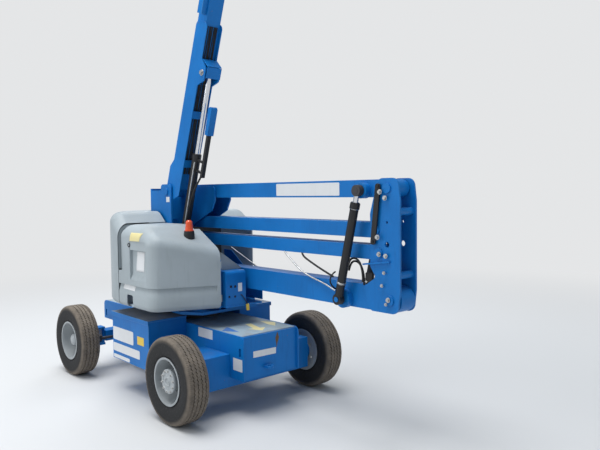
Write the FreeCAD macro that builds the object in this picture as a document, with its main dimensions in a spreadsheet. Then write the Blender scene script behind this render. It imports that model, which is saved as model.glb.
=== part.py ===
# Articulating boom lift, battery driven, standing on its four wheels with the boom raised.
# Millimetres, +Z up, +X towards the drive axle and the mid pivot, +Y to the machine's left.
# Inside this file x is measured from the middle of the wheelbase. Each finished sub-part is
# then placed at axle_mid, so that the part's origin is under the middle of the whole machine.
import FreeCAD, Part
import math
import os
import re
import Sketcher
from FreeCAD import Placement, Rotation, Vector

SIZES = {
    # The part's origin and the running gear
    "axle_mid": -660,
    "wheelbase": 2000,
    "overall_width": 1710,
    "tyre_radius": 365,
    "tyre_width": 200,
    "tyre_shoulder": 34,
    "rim_radius": 190,
    "rim_wall": 7,
    "rim_dish": 62,
    "hub_radius": 74,
    "hub_gap": 0.5,
    "hole_circle": 113,
    "hole_radius": 17,
    "pin_clear": 0.4,
    "seat_gap": 0.3,
    # Chassis
    "frame_half": 310,
    "frame_plate": 14,
    "front_overhang": 335,
    "rear_overhang": 300,
    "deck_height": 695,
    "frame_bottom": 321,
    "belly_bottom": 300,
    "frame_corner": 46,
    "end_inset": 22,
    "deck_plate": 6,
    "lug_side": -45,
    "lug_thick": 20,
    "lug_hole": 17,
    "lug_reach": 40,
    "lug_front": 405,
    "lug_rear": 590,
    "slot_wide": 26,
    "slot_tall": 74,
    "slot_inset": 52,
    "slot_low": 520,
    "drive_box_ahead": 138,
    "drive_box_behind": 238,
    "drive_box_bottom": 237,
    "drive_box_top": 521,
    "drive_box_half": 600,
    "drive_hub_out": 672,
    "steer_beam_deep": 110,
    "steer_beam_long": 150,
    "kingpin_track": 1180,
    "kingpin_radius": 22,
    "yoke_gap": 150,
    "yoke_wall": 22,
    "yoke_long": 110,
    "steer_arm": 150,
    "tie_rod_radius": 15,
    "steer_tube_radius": 38,
    "battery_front": 453,
    "battery_back": -259,
    "battery_bottom": 306,
    "battery_top": 748,
    "battery_out": 704,
    "lid_thick": 14,
    "lid_over": 10,
    "lid_lip": 26,
    # Turntable
    "slew_offset": 100,
    "ring_radius": 300,
    "ring_bore": 190,
    "ring_low": 760,
    "table_low": 800,
    "table_thick": 25,
    "table_half": 430,
    "table_front": 560,
    "table_back": -560,
    "post_plate": 16,
    "post_top": 1500,
    "post_back": -300,
    "post_front": 380,
    "post_neck": 90,
    "post_waist": 1010,
    "tray_height": 870,
    "tray_thick": 16,
    "tray_front": 925,
    "tray_half": 220,
    "box_front": 920,
    "box_deep": 250,
    "box_right": -181,
    "box_left": 38,
    "box_high": 1197,
    "box_round": 30,
    "inner_panel_side": 285,
    "inner_panel_front": 850,
    "inner_panel_low": 900,
    "inner_panel_high": 1330,
    # Covers
    "cover_out": 790,
    "cover_inner": 226,
    "cover_relief": 282,
    "relief_end": 575,
    "cover_low": 871,
    "cover_wall": 9,
    "cover_lip": 52,
    "cover_seam": 80,
    "seam_gap": 14,
    "cover_nose": 905,
    "corner_run": 231,
    "crest_run": 408,
    "cover_crest": 1615,
    "nose_height": 1390,
    "corner_round": 130,
    "crest_round": 150,
    "top_round": 110,
    "low_round": 50,
    "recess_wall": 39,
    "groove_low": 1004,
    "groove_high": 1082,
    "groove_deep": 20,
    "channel_wide": 85,
    "channel_low": 1200,
    "channel_deep": 30,
    "channel_end": 640,
    "door_back": 300,
    "door_front": 594,
    "door_low": 1130,
    "door_high": 1478,
    "door_deep": 4,
    "window_low": 1190,
    "window_high": 1400,
    "window_deep": 26,
    "notch_back": 225,
    "notch_front": 350,
    "notch_high": 992,
    "hinge_inset": 28,
    "hinge_side": 212,
    "hinge_pin": 9,
    "hinge_low": 930,
    "hinge_high": 1230,
    "hinge_long": 60,
    "hinge_top": 1310,
    "rear_top": 1728,
    "rear_mouth": -290,
    "rear_step": -55,
    "rear_round": 100,
    "step_round": 140,
    "weight_height": 1560,
    "weight_front": -330,
    "beacon_radius": 36,
    "beacon_tall": 92,
    "beacon_foot": 34,
    "beacon_x": 677,
    "beacon_y": -400,
    # Riser arms
    "arm_side": 150,
    "arm_width": 150,
    "arm_wall": 8,
    "arm_length": 2600,
    "arm_gap": 7,
    "plate_thick": 16,
    "pin_radius": 25,
    "pin_head": 12,
    "boss_wall": 30,
    "lower_arm_x": 0,
    "lower_arm_z": 1116,
    "lower_arm_deep": 186,
    "lower_link_x": -100,
    "lower_link_z": 1452,
    "lower_link_deep": 108,
    "upper_arm_x": -24,
    "upper_arm_z": 1922,
    "upper_arm_deep": 130,
    "upper_link_x": -132,
    "upper_link_z": 1617,
    "upper_link_deep": 115,
    "mid_front": 2692,
    "mid_low": 1022,
    "mid_high": 1995,
    "mid_back_low": 2425,
    "mid_back_high": 2490,
    "mid_notch_x": 2471,
    "mid_notch_z": 1272,
    "mid_hole_x": 2575,
    "mid_round": 60,
    "mid_link_x": 2458,
    "mid_link_z": 1524,
    "mid_link_tall": 420,
    "cross_tube": 28,
    # Riser cylinders
    "riser_foot_x": 2150,
    "riser_foot_z": 1082,
    "riser_head_x": 2353,
    "riser_head_z": 1907,
    "riser_side": 162,
    "riser_barrel_radius": 33,
    "riser_rod_radius": 20,
    "riser_barrel_long": 760,
    "riser_rod_long": 770,
    "riser_pin": 20,
    "riser_eye": 42,
    "riser_eye_wide": 46,
    "cylinder_wall": 6,
    # Upper pivot and boom
    "boom_angle": 70.25,
    "boom_side": -160,
    "boom_pin_x": 59,
    "boom_pin_z": 1923,
    "boom_width": 150,
    "boom_deep": 140,
    "boom_drop": 18,
    "boom_wall": 7,
    "boom_start": 70,
    "boom_long": 3350,
    "boom_cheek": 8,
    "cheek_deep": 180,
    "cheek_long": 1640,
    "cheek_back": 46,
    "cheek_gap": 5,
    "strap_wide": 70,
    "strap_thick": 8,
    "strap_first": 340,
    "strap_pitch": 470,
    "pivot_plate": 16,
    "pivot_low": 1420,
    "pivot_arm_low": 1545,
    "pivot_top": 1992,
    "pivot_back": -250,
    "pivot_front": 425,
    "pivot_web": 20,
    "lift_foot_x": 203,
    "lift_foot_z": 1481,
    "lift_head_along": 1208,
    "lift_head_drop": 237,
    "lift_barrel_radius": 40,
    "lift_rod_radius": 24,
    "lift_barrel_long": 830,
    "lift_rod_long": 885,
    "lift_pin": 24,
    "lift_eye": 44,
    "lift_eye_wide": 70,
    "ear_thick": 14,
    "ear_long": 260,
    "tray_start": 1700,
    "tray_long": 1560,
    "tray_deep": 70,
    "tray_out": 52,
    "tray_wall": 3,
    # Extension and platform
    "inner_wide": 130,
    "inner_deep": 120,
    "inner_wall": 6,
    "pad_long": 80,
    "pad_clear": 0.4,
    "inner_start": 750,
    "head_along": 3800,
    "head_drop": 88,
    "head_pin": 22,
    "head_eye": 52,
    "bracket_plate": 14,
    "bracket_reach": 200,
    "rotator_radius": 70,
    "rotator_tall": 150,
    "rotator_bore": 30,
    "mount_bar": 110,
    "beam_deep": 60,
    "beam_side": 300,
    "floor_drop": 550,
    "floor_thick": 40,
    "platform_long": 1830,
    "platform_deep": 760,
    "platform_gap": 140,
    "rail_radius": 16,
    "rail_post": 18,
    "rail_base": 40,
    "rail_height": 1100,
    "rail_mid": 560,
    "toe_board": 110,
    "toe_thick": 4,
    "gate_gap": 10,
    "gate_bar": 24,
    "gate_pin": 6,
    "console_wide": 420,
    "console_side": 150,
    "console_deep": 190,
    "console_tall": 210,
}

# Places that follow from the sizes above
DERIVED = {
    "frame_front": "wheelbase / 2 + front_overhang",
    "frame_rear": "wheelbase / 2 + rear_overhang",
    "drive_box_front": "wheelbase / 2 + drive_box_ahead",
    "drive_box_back": "wheelbase / 2 - drive_box_behind",
    "hinge_x": "cover_nose - hinge_inset",
    "cover_corner": "cover_nose - corner_run",
    "crest_end": "cover_nose - crest_run",
}

os.makedirs("parts", exist_ok=True)
doc = FreeCAD.newDocument("boom_lift")
sheet = doc.addObject("Spreadsheet::Sheet", "Sizes")
cells = {**SIZES, **{alias: "=" + text for alias, text in DERIVED.items()}}
for row, (alias, size) in enumerate(cells.items(), start=1):
    sheet.set(f"A{row}", alias)
    sheet.set(f"B{row}", str(size))
    sheet.setAlias(f"B{row}", alias)
doc.recompute()

NODES = []
# Turns that bring a cylinder's own axis from +Z onto +X, +Y or +Z
TURNS = {
    "X": Rotation(Vector(0, 1, 0), 90),
    "Y": Rotation(Vector(1, 0, 0), -90),
    "Z": Rotation(),
}


def bound(text):
    """An expression with each size written as a cell of the sheet."""
    return re.sub(
        r"[a-z][a-z_]*",
        lambda word: "Sizes." + word.group() if word.group() in cells else word.group(),
        str(text),
    )


def value(text):
    """The number that an expression of sizes gives."""
    return float(sheet.evalExpression(str(text)))


def place(item, at, turn=Rotation()):
    """Puts an object at a point given by three expressions, turned first."""
    item.Placement = Placement(Vector(*[value(v) for v in at]), turn)
    for side, text in zip("xyz", at):
        item.setExpression(f"Placement.Base.{side}", bound(text))
    return item


def block(low, high):
    """A box between two corners."""
    item = doc.addObject("Part::Box", "block")
    for name, a, b in zip(("Length", "Width", "Height"), low, high):
        item.setExpression(name, bound(f"({b}) - ({a})"))
    return place(item, low)


def rod(axis, radius, at, length):
    """A round bar from a point along X, Y or Z."""
    item = doc.addObject("Part::Cylinder", "rod")
    item.setExpression("Radius", bound(radius))
    item.setExpression("Height", bound(length))
    return place(item, at, TURNS[axis])


def fuse(*items):
    """One solid made of several."""
    if len(items) == 1:
        return items[0]
    item = doc.addObject("Part::MultiFuse", "joined")
    item.Shapes = list(items)
    item.Refine = True
    return item


def cut(base, *tools):
    """A solid less others."""
    item = doc.addObject("Part::Cut", "trimmed")
    item.Base = base
    item.Tool = fuse(*tools)
    item.Refine = True
    return item


def common(base, tool):
    """What two solids share."""
    item = doc.addObject("Part::MultiCommon", "shared")
    item.Shapes = [base, tool]
    return item


def group(*items):
    """Several solids that stay apart."""
    item = doc.addObject("Part::Compound", "set")
    item.Links = list(items)
    return item


def rounded(item, radius, chosen):
    """A solid with the edges that chosen picks rounded to a radius."""
    doc.recompute()
    fillet = doc.addObject("Part::Fillet", "rounded")
    fillet.Base = item
    size = value(radius)
    fillet.Edges = [
        (number, size, size)
        for number, edge in enumerate(item.Shape.Edges, start=1)
        if chosen(edge)
    ]
    return fillet


def sloped(item, down, along, chosen):
    """A solid with the edges that chosen picks sloped off by two distances."""
    doc.recompute()
    chamfer = doc.addObject("Part::Chamfer", "sloped")
    chamfer.Base = item
    chamfer.Edges = [
        (number, value(down), value(along))
        for number, edge in enumerate(item.Shape.Edges, start=1)
        if chosen(edge)
    ]
    return chamfer


def ring(axis, radius, bore, at, length):
    """A round tube."""
    return cut(rod(axis, radius, at, length), rod(axis, bore, at, length))


def outline(body, plane, points):
    """A closed sketch through points, each tied to the sheet by its two distances."""
    sketch = body.newObject("Sketcher::SketchObject", "outline")
    planes = {f.Role: f for f in body.Origin.OriginFeatures}
    sketch.AttachmentSupport = [(planes[plane], "")]
    sketch.MapMode = "FlatFace"
    places = [(value(a), value(b)) for a, b in points]
    count = len(points)
    for i, (a, b) in enumerate(places):
        c, d = places[(i + 1) % count]
        sketch.addGeometry(Part.LineSegment(Vector(a, b, 0), Vector(c, d, 0)), False)
    for i in range(count):
        sketch.addConstraint(Sketcher.Constraint("Coincident", i, 2, (i + 1) % count, 1))
    for i in range(count):
        for side, kind in enumerate(("DistanceX", "DistanceY")):
            tie = Sketcher.Constraint(kind, -1, 1, i, 1, places[i][side])
            index = sketch.addConstraint(tie)
            name = f"p{i}{'uv'[side]}"
            sketch.renameConstraint(index, name)
            sketch.setExpression(f"Constraints.{name}", bound(points[i][side]))
    return sketch


def padded(plane, points, length, rounds=()):
    """A sketch pushed out to a thickness. rounds is a list of corner numbers with a radius."""
    body = doc.addObject("PartDesign::Body", "plate")
    sketch = outline(body, plane, points)
    pad = body.newObject("PartDesign::Pad", "pad")
    pad.Profile = sketch
    pad.setExpression("Length", bound(length))
    doc.recompute()
    last = pad
    for corners, radius in rounds:
        names = []
        for corner in corners:
            spot = sketch.Placement.multVec(
                Vector(value(points[corner][0]), value(points[corner][1]), 0)
            )
            way = sketch.Placement.Rotation.multVec(Vector(0, 0, 1))
            for number, edge in enumerate(last.Shape.Edges, start=1):
                ends = [v.Point - spot for v in edge.Vertexes]
                if all(end.cross(way).Length < 0.01 for end in ends):
                    names.append(f"Edge{number}")
        fillet = body.newObject("PartDesign::Fillet", "round")
        fillet.Base = (last, names)
        fillet.setExpression("Radius", bound(radius))
        doc.recompute()
        last = fillet
    return body


def side_plate(points, low, high, rounds=()):
    """A plate seen from the side, x and z, between two values of y."""
    body = padded("XZ_Plane", points, f"({high}) - ({low})", rounds)
    return place(body, ("0", high, "0"))


def flat_plate(points, low, high, rounds=()):
    """A plate seen from above, x and y, between two heights."""
    body = padded("XY_Plane", points, f"({high}) - ({low})", rounds)
    return place(body, ("0", "0", low))


def turned(points, axis="Y"):
    """A solid of revolution about Y or Z, its points a radius and a place along the axis."""
    body = doc.addObject("PartDesign::Body", "turned")
    sketch = outline(body, "XY_Plane" if axis == "Y" else "XZ_Plane", points)
    spin = body.newObject("PartDesign::Revolution", "spin")
    spin.Profile = sketch
    spin.ReferenceAxis = (sketch, ["V_Axis"])
    spin.Angle = 360
    doc.recompute()
    return body


def node(name, item):
    """A finished sub-part: it takes the node's name and moves to its place in the machine."""
    item.Label = name
    turn = item.Placement.Rotation
    base = item.Placement.Base
    holder = item
    if base.Length > 0 or turn.Angle > 0:
        holder = doc.addObject("Part::Compound", "holder")
        holder.Links = [item]
        item.Label = name + "_shape"
        holder.Label = name
    holder.setExpression("Placement.Base.x", bound("axle_mid"))
    NODES.append(holder)
    return holder


def turned_by(item, at, angle):
    """A solid built along +X from the origin, turned up by an angle and moved to a point."""
    shell = doc.addObject("Part::Compound", "turned_by")
    shell.Links = [item]
    return place(shell, at, Rotation(Vector(0, -1, 0), angle))


# Places in the boom's own frame, along it and above its pin, brought to the machine's frame
def boom_x(along, above):
    angle = math.radians(SIZES["boom_angle"])
    return SIZES["boom_pin_x"] + along * math.cos(angle) - above * math.sin(angle)


def boom_z(along, above):
    angle = math.radians(SIZES["boom_angle"])
    return SIZES["boom_pin_z"] + along * math.sin(angle) + above * math.cos(angle)


BOOM_PLACE = ("boom_pin_x", "boom_side", "boom_pin_z")


def chassis():
    """The centre frame, the boxes on it and both axles."""
    core = side_plate(
        [
            ("frame_front - end_inset", "frame_bottom"),
            ("frame_front - end_inset", "deck_height - deck_plate"),
            ("-frame_rear + end_inset", "deck_height - deck_plate"),
            ("-frame_rear + end_inset", "frame_bottom + 180"),
            ("-wheelbase / 2 + 160", "frame_bottom + 180"),
            ("-wheelbase / 2 + 220", "belly_bottom"),
            ("drive_box_back - seat_gap", "belly_bottom"),
            ("drive_box_back - seat_gap", "drive_box_top + seat_gap"),
            ("drive_box_front + seat_gap", "drive_box_top + seat_gap"),
            ("drive_box_front + seat_gap", "frame_bottom"),
        ],
        "-frame_half + frame_plate",
        "frame_half - frame_plate",
    )
    sides = []
    for low in ("-frame_half", "frame_half - frame_plate"):
        plate = side_plate(
            [
                ("frame_front", "frame_bottom"),
                ("frame_front", "deck_height"),
                ("-frame_rear", "deck_height"),
                ("-frame_rear", "frame_bottom + 170"),
                ("-wheelbase / 2 + 150", "frame_bottom + 170"),
                ("-wheelbase / 2 + 210", "belly_bottom - 8"),
                ("drive_box_back - seat_gap", "belly_bottom - 8"),
                ("drive_box_back - seat_gap", "drive_box_top + seat_gap"),
                ("drive_box_front + seat_gap", "drive_box_top + seat_gap"),
                ("drive_box_front + seat_gap", "frame_bottom"),
            ],
            low,
            f"({low}) + frame_plate",
            [((1, 2), "frame_corner")],
        )
        sides.append(plate)
    slots = [
        block(
            (f"{x} - slot_wide / 2", "-frame_half - 1", "slot_low"),
            (f"{x} + slot_wide / 2", "frame_half + 1", "slot_low + slot_tall"),
        )
        for x in ("frame_front - slot_inset", "-frame_rear + slot_inset")
    ]
    # A flat tie-down eye stands out from each end plate
    lugs = []
    holes = []
    for way, face, height in (
        (1, "frame_front - end_inset", "lug_front"),
        (-1, "-frame_rear + end_inset", "lug_rear"),
    ):
        eye = f"{face} + {way} * lug_reach"
        low = f"{height} - lug_thick / 2"
        back, tip = sorted((f"{face} - {way}", eye), key=value)
        lugs.append(
            block(
                (back, "lug_side - 2 * lug_hole", low),
                (tip, "lug_side + 2 * lug_hole", f"{low} + lug_thick"),
            )
        )
        lugs.append(rod("Z", "2 * lug_hole", (eye, "lug_side", low), "lug_thick"))
        holes.append(rod("Z", "lug_hole", (eye, "lug_side", f"{low} - 1"), "lug_thick + 2"))
    node("chassis_frame", cut(fuse(core, *sides, *lugs), *slots, *holes))

    decks = block(
        ("-frame_rear + end_inset + 20", "-frame_half + frame_plate + 1", "deck_height - deck_plate"),
        ("frame_front - end_inset - 20", "frame_half - frame_plate - 1", "deck_height"),
    )
    node("chassis_deck", decks)

    boxes = []
    lids = []
    for side in (-1, 1):
        near, far = sorted((f"{side} * (frame_half + seat_gap)", f"{side} * battery_out"), key=value)
        boxes.append(
            block(("battery_back", near, "battery_bottom"), ("battery_front", far, "battery_top"))
        )
        near, far = sorted(
            (f"{side} * (frame_half + seat_gap)", f"{side} * (battery_out + lid_over)"), key=value
        )
        cap = block(
            ("battery_back - lid_over", near, "battery_top + seat_gap"),
            ("battery_front + lid_over", far, "battery_top + lid_thick"),
        )
        near, far = sorted(
            (f"{side} * (battery_out + 1)", f"{side} * (battery_out + lid_over)"), key=value
        )
        lip = block(
            ("battery_back - lid_over", near, "battery_top - lid_lip"),
            ("battery_front + lid_over", far, "battery_top + lid_thick"),
        )
        lids.append(fuse(cap, lip))
    node("battery_boxes", group(*boxes))
    node("battery_lids", group(*lids))

    drive_x = "wheelbase / 2"
    beam = block(
        ("drive_box_back", "-drive_box_half", "drive_box_bottom"),
        ("drive_box_front", "drive_box_half", "drive_box_top"),
    )
    hub = rod("Y", "hub_radius + 14", (drive_x, "-drive_hub_out", "tyre_radius"), "2 * drive_hub_out")
    node("drive_axle", fuse(beam, hub))

    steer_x = "-wheelbase / 2"
    beam = block(
        (f"{steer_x} - steer_beam_long / 2", "-kingpin_track / 2 + 119", "tyre_radius - steer_beam_deep / 2"),
        (f"{steer_x} + steer_beam_long / 2", "kingpin_track / 2 - 119", "tyre_radius + steer_beam_deep / 2"),
    )
    post = block(
        (f"{steer_x} - 110", "-frame_half + 40", "tyre_radius + steer_beam_deep / 2 - 1"),
        (f"{steer_x} + 110", "frame_half - 40", "frame_bottom + 180 - seat_gap"),
    )
    yokes = []
    for side in (-1, 1):
        for level in (-1, 1):
            centre = f"tyre_radius + {level} * (yoke_gap + yoke_wall) / 2"
            near, far = sorted(
                (f"{side} * (kingpin_track / 2 - 120)", f"{side} * kingpin_track / 2"), key=value
            )
            yokes.append(
                block(
                    (f"{steer_x} - yoke_long / 2", near, f"{centre} - yoke_wall / 2"),
                    (f"{steer_x} + yoke_long / 2", far, f"{centre} + yoke_wall / 2"),
                )
            )
            yokes.append(
                rod(
                    "Z",
                    "yoke_long / 2",
                    (steer_x, f"{side} * kingpin_track / 2", f"{centre} - yoke_wall / 2"),
                    "yoke_wall",
                )
            )
        near, far = sorted(
            (f"{side} * (kingpin_track / 2 - 120)", f"{side} * (kingpin_track / 2 - 90)"), key=value
        )
        yokes.append(
            block(
                (f"{steer_x} - yoke_long / 2", near, "tyre_radius - yoke_gap / 2 - yoke_wall"),
                (f"{steer_x} + yoke_long / 2 - 18", far, "tyre_radius + yoke_gap / 2 + yoke_wall"),
            )
        )
        yokes.append(
            rod(
                "Z",
                "kingpin_radius",
                (steer_x, f"{side} * kingpin_track / 2", "tyre_radius - yoke_gap / 2 - yoke_wall - 6"),
                "yoke_gap + 2 * yoke_wall + 12",
            )
        )
    tube = ring(
        "Y",
        "steer_tube_radius",
        "tie_rod_radius + 1",
        (f"{steer_x} + steer_arm", "-260", "tyre_radius"),
        "520",
    )
    saddle = block(
        (f"{steer_x} + steer_beam_long / 2 - 1", "-90", "tyre_radius - 30"),
        (f"{steer_x} + steer_arm - steer_tube_radius + 6", "90", "tyre_radius + 30"),
    )
    node("steer_axle", fuse(beam, post, *yokes, tube, saddle))

    node(
        "slew_ring",
        ring("Z", "ring_radius - 12", "ring_bore", ("slew_offset", "0", "deck_height + seat_gap"),
             "ring_low - deck_height - 1"),
    )


def knuckle(side):
    """A steering knuckle: the sleeve on its kingpin, the stub that carries the wheel, the arm."""
    steer_x = "-wheelbase / 2"
    pin_y = f"{side} * kingpin_track / 2"
    sleeve = rod("Z", "kingpin_radius + 24", (steer_x, pin_y, "tyre_radius - yoke_gap / 2 + 1"), "yoke_gap - 2")
    near, far = sorted((pin_y, f"{side} * drive_hub_out"), key=value)
    stub = rod("Y", "kingpin_radius + 18", (steer_x, near, "tyre_radius"), f"({far}) - ({near})")
    arm_y = f"{side} * (kingpin_track / 2 - 20)"
    arm = block(
        (steer_x, f"{arm_y} - 17", "tyre_radius + tie_rod_radius + 1"),
        (f"{steer_x} + steer_arm + 20", f"{arm_y} + 17", "tyre_radius + tie_rod_radius + 19"),
    )
    bore = rod("Z", "kingpin_radius + pin_clear", (steer_x, pin_y, "0"), "deck_height")
    return cut(fuse(sleeve, stub, arm), bore)


def wheels():
    """Four rims and four tyres, each turned about its axle, and the steering's own pieces."""
    for name, side in (("left", 1), ("right", -1)):
        node(f"steer_knuckle_{name}", knuckle(side))
    rod_half = "kingpin_track / 2 - 20"
    ball = [
        rod(
            "Z",
            "tie_rod_radius + 7",
            ("-wheelbase / 2 + steer_arm", f"{s} * ({rod_half})", "tyre_radius - 22"),
            "21 + tie_rod_radius",
        )
        for s in (-1, 1)
    ]
    bar = rod(
        "Y",
        "tie_rod_radius",
        ("-wheelbase / 2 + steer_arm", f"-({rod_half})", "tyre_radius"),
        f"2 * ({rod_half})",
    )
    node("tie_rod", fuse(bar, *ball))

    # Radius and place along the axle, from the middle of the tyre to its outer side
    half = "tyre_width / 2"
    bead = "rim_radius + seat_gap"
    tyre = [
        (bead, f"-{half} + 24"),
        ("tyre_radius - tyre_shoulder - 40", f"-{half}"),
        ("tyre_radius - tyre_shoulder", f"-{half} + 4"),
        ("tyre_radius - 8", f"-{half} + tyre_shoulder * 0.7"),
        ("tyre_radius", f"-{half} * 0.35"),
        ("tyre_radius", f"{half} * 0.35"),
        ("tyre_radius - 8", f"{half} - tyre_shoulder * 0.7"),
        ("tyre_radius - tyre_shoulder", f"{half} - 4"),
        ("tyre_radius - tyre_shoulder - 40", half),
        (bead, f"{half} - 24"),
    ]
    for axle, axle_x in (("drive", "wheelbase / 2"), ("steer", "-wheelbase / 2")):
        # The rim runs out from the hub face to the disc, then along the barrel to the flange
        hub_face = "drive_hub_out + hub_gap - (overall_width - tyre_width) / 2"
        hub_end = f"{hub_face} + 60" if axle == "drive" else f"{hub_face} + 96"
        hub_tip = "hub_radius - 8" if axle == "drive" else "hub_radius - 40"
        rim = [
            ("0", hub_face),
            ("rim_radius - rim_wall - 20", hub_face),
            ("rim_radius - rim_wall", f"-{half} + 8"),
            ("rim_radius + 10", f"-{half} + 8"),
            ("rim_radius", f"-{half} + 23"),
            ("rim_radius", f"{half} - 23"),
            ("rim_radius + 10", f"{half} - 8"),
            ("rim_radius - rim_wall", f"{half} - 8"),
            ("rim_radius - rim_wall - 6", f"{half} - rim_dish"),
            ("rim_radius - rim_wall - 40", f"{hub_face} + 14"),
            ("hub_radius + 6", f"{hub_face} + 24"),
            (hub_tip, hub_end),
            ("0", hub_end),
        ]
        for name, side in (("left", 1), ("right", -1)):
            at = (axle_x, f"{side} * (overall_width - tyre_width) / 2", "tyre_radius")
            turn = Rotation() if side == 1 else Rotation(Vector(0, 0, 1), 180)
            node(f"rim_{axle}_{name}", place(cut(turned(rim), *hand_holes(hub_face)), at, turn))
            node(f"tyre_{axle}_{name}", place(turned(tyre), at, turn))


def hand_holes(face):
    """The ring of round openings in a rim's disc."""
    holes = []
    for i in range(6):
        angle = math.radians(60 * i + 30)
        at = (f"hole_circle * {math.cos(angle):.5f}", f"{face} - 60", f"hole_circle * {math.sin(angle):.5f}")
        holes.append(rod("Y", "hole_radius", at, "160"))
    return holes


def turntable():
    """The turning frame: ring, table, the two posts of the riser, trays and inner panel."""
    race = ring("Z", "ring_radius", "ring_bore", ("slew_offset", "0", "ring_low"), "table_low - ring_low + 1")
    table = flat_plate(
        [
            ("table_back", "-table_half + 120"),
            ("table_back + 160", "-table_half"),
            ("table_front", "-table_half"),
            ("table_front + 180", "-table_half + 120"),
            ("table_front + 180", "table_half - 120"),
            ("table_front", "table_half"),
            ("table_back + 160", "table_half"),
            ("table_back", "table_half - 120"),
        ],
        "table_low",
        "table_low + table_thick",
    )
    pieces = [race, table]
    posts = [
        ("post_back", "table_low + table_thick - 1"),
        ("post_front", "table_low + table_thick - 1"),
        ("post_front", "post_waist - 60"),
        ("post_neck", "post_waist + 210"),
        ("lower_link_x + 70", "post_top"),
        ("lower_link_x - 70", "post_top"),
        ("post_back", "post_waist + 210"),
    ]
    for low in ("arm_side - arm_width / 2 - arm_gap - post_plate", "arm_side + arm_width / 2 + arm_gap"):
        pieces.append(side_plate(posts, low, f"{low} + post_plate", [((3, 4, 5), "post_plate * 3")]))
    # The back of the posts is closed by a web that also carries the counterweight
    pieces.append(
        block(
            ("post_back", "arm_side - arm_width / 2 - arm_gap - 1", "table_low + table_thick - 1"),
            ("post_back + 20", "arm_side + arm_width / 2 + arm_gap + 1", "post_waist + 120"),
        )
    )
    for x, z in (("lower_arm_x", "lower_arm_z"), ("lower_link_x", "lower_link_z")):
        pieces.append(pin_across(x, z))
    # The tray's corner is cut away where the right cover's foot swings over it
    tray = cut(
        block(
            ("table_front", "-tray_half", "tray_height"),
            ("tray_front", "tray_half", "tray_height + tray_thick"),
        ),
        block(
            ("hinge_x - 24", "-tray_half - 1", "tray_height - 1"),
            ("tray_front + 1", "-hinge_side + 34", "tray_height + tray_thick + 1"),
        ),
    )
    tray_legs = [
        block(
            ("table_front + 60", f"{s} * tray_half / 2 - 8", "table_low + table_thick - 1"),
            ("table_front + 160", f"{s} * tray_half / 2 + 8", "tray_height + 1"),
        )
        for s in (-1, 1)
    ]
    panel = side_plate(
        [
            ("post_front - 140", "tray_height + tray_thick"),
            ("inner_panel_front", "tray_height + tray_thick"),
            ("inner_panel_front", "inner_panel_low + 90"),
            ("post_front - 20", "inner_panel_high"),
            ("post_front - 140", "inner_panel_high"),
        ],
        "inner_panel_side",
        "inner_panel_side + 6",
    )
    foot = block(
        ("post_front - 140", "table_half - 200", "table_low + table_thick - 1"),
        ("table_front + 170", "inner_panel_side + 6", "tray_height + tray_thick + 1"),
    )
    sills = [
        block(
            ("-160", f"{a}", "table_low + table_thick - 1"),
            ("post_front", f"{b}", "cover_low - seat_gap"),
        )
        for a, b in (("-table_half", "-table_half + 60"), ("table_half - 60", "table_half"))
    ]
    # The cover's hinge pin, carried above each sleeve by a post behind it
    hinge = [
        rod("Z", "hinge_pin", ("hinge_x", "-hinge_side", "hinge_low - 8"), "hinge_top - hinge_low + 8"),
        block(
            ("hinge_x - 62", "-hinge_side - 7", "tray_height + tray_thick - 1"),
            ("hinge_x - 32", "-hinge_side + 7", "hinge_top"),
        ),
    ]
    for low in ("hinge_low", "hinge_high"):
        hinge.append(
            block(
                ("hinge_x - 33", "-hinge_side - 7", f"{low} + hinge_long + 6"),
                ("hinge_x + 4", "-hinge_side + 7", f"{low} + hinge_long + 18"),
            )
        )
    node("turntable_frame", fuse(*pieces, tray, *tray_legs, panel, foot, *sills, *hinge))

    # The charger and valve box on the front tray, its upper front edge rounded
    box = side_plate(
        [
            ("box_front - box_deep", "tray_height + tray_thick + seat_gap"),
            ("box_front", "tray_height + tray_thick + seat_gap"),
            ("box_front", "box_high"),
            ("box_front - box_deep", "box_high"),
        ],
        "box_right",
        "box_left",
        [((2,), "box_round")],
    )
    ports = [
        rod("X", radius, ("box_front - 12", y, z), "14")
        for y, z, radius in (
            ("box_right + 54", "box_high - 137", "13"),
            ("box_right + 101", "box_high - 141", "13"),
            ("box_right + 35", "box_high - 228", "11"),
            ("box_right + 99", "box_high - 231", "11"),
        )
    ]
    node("valve_box", cut(box, *ports))


def pin_across(x, z):
    """A pivot pin across the riser's plates, with a round head outside each plate."""
    low = "arm_side - arm_width / 2 - arm_gap - plate_thick"
    length = "arm_width + 2 * arm_gap + 2 * plate_thick"
    pin = rod("Y", "pin_radius", (x, f"{low} - pin_head", z), f"{length} + 2 * pin_head")
    head = rod("Y", "pin_radius + 12", (x, f"{low} - pin_head", z), "pin_head + 1")
    other = rod("Y", "pin_radius + 12", (x, f"{low} + {length} - 1", z), "pin_head + 1")
    return fuse(pin, head, other)


def across(edge):
    """True for a straight edge that runs across the machine."""
    first, last = (corner.Point for corner in edge.Vertexes)
    return abs(abs(first.y - last.y) - edge.Length) < 0.5


def upper_edge(edge):
    """True for the edges where a cover's outer side meets its top."""
    heights = [corner.Point.z for corner in edge.Vertexes]
    if len(heights) < 2 or min(heights) < value("nose_height - 120"):
        return False
    return not across(edge) and (
        edge.CenterOfMass.y < value("-cover_relief - 3") or edge.CenterOfMass.x < value("cover_seam - seam_gap - 1")
    )


def lower_edge(edge):
    """True for the edges where a cover's outer side meets its foot."""
    heights = [corner.Point.z for corner in edge.Vertexes]
    if len(heights) < 2 or max(heights) > value("cover_low + recess_wall + 1"):
        return False
    return not across(edge) and (
        edge.CenterOfMass.y < value("-cover_relief - 3") or edge.CenterOfMass.x < value("cover_seam - seam_gap - 1")
    )


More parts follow.
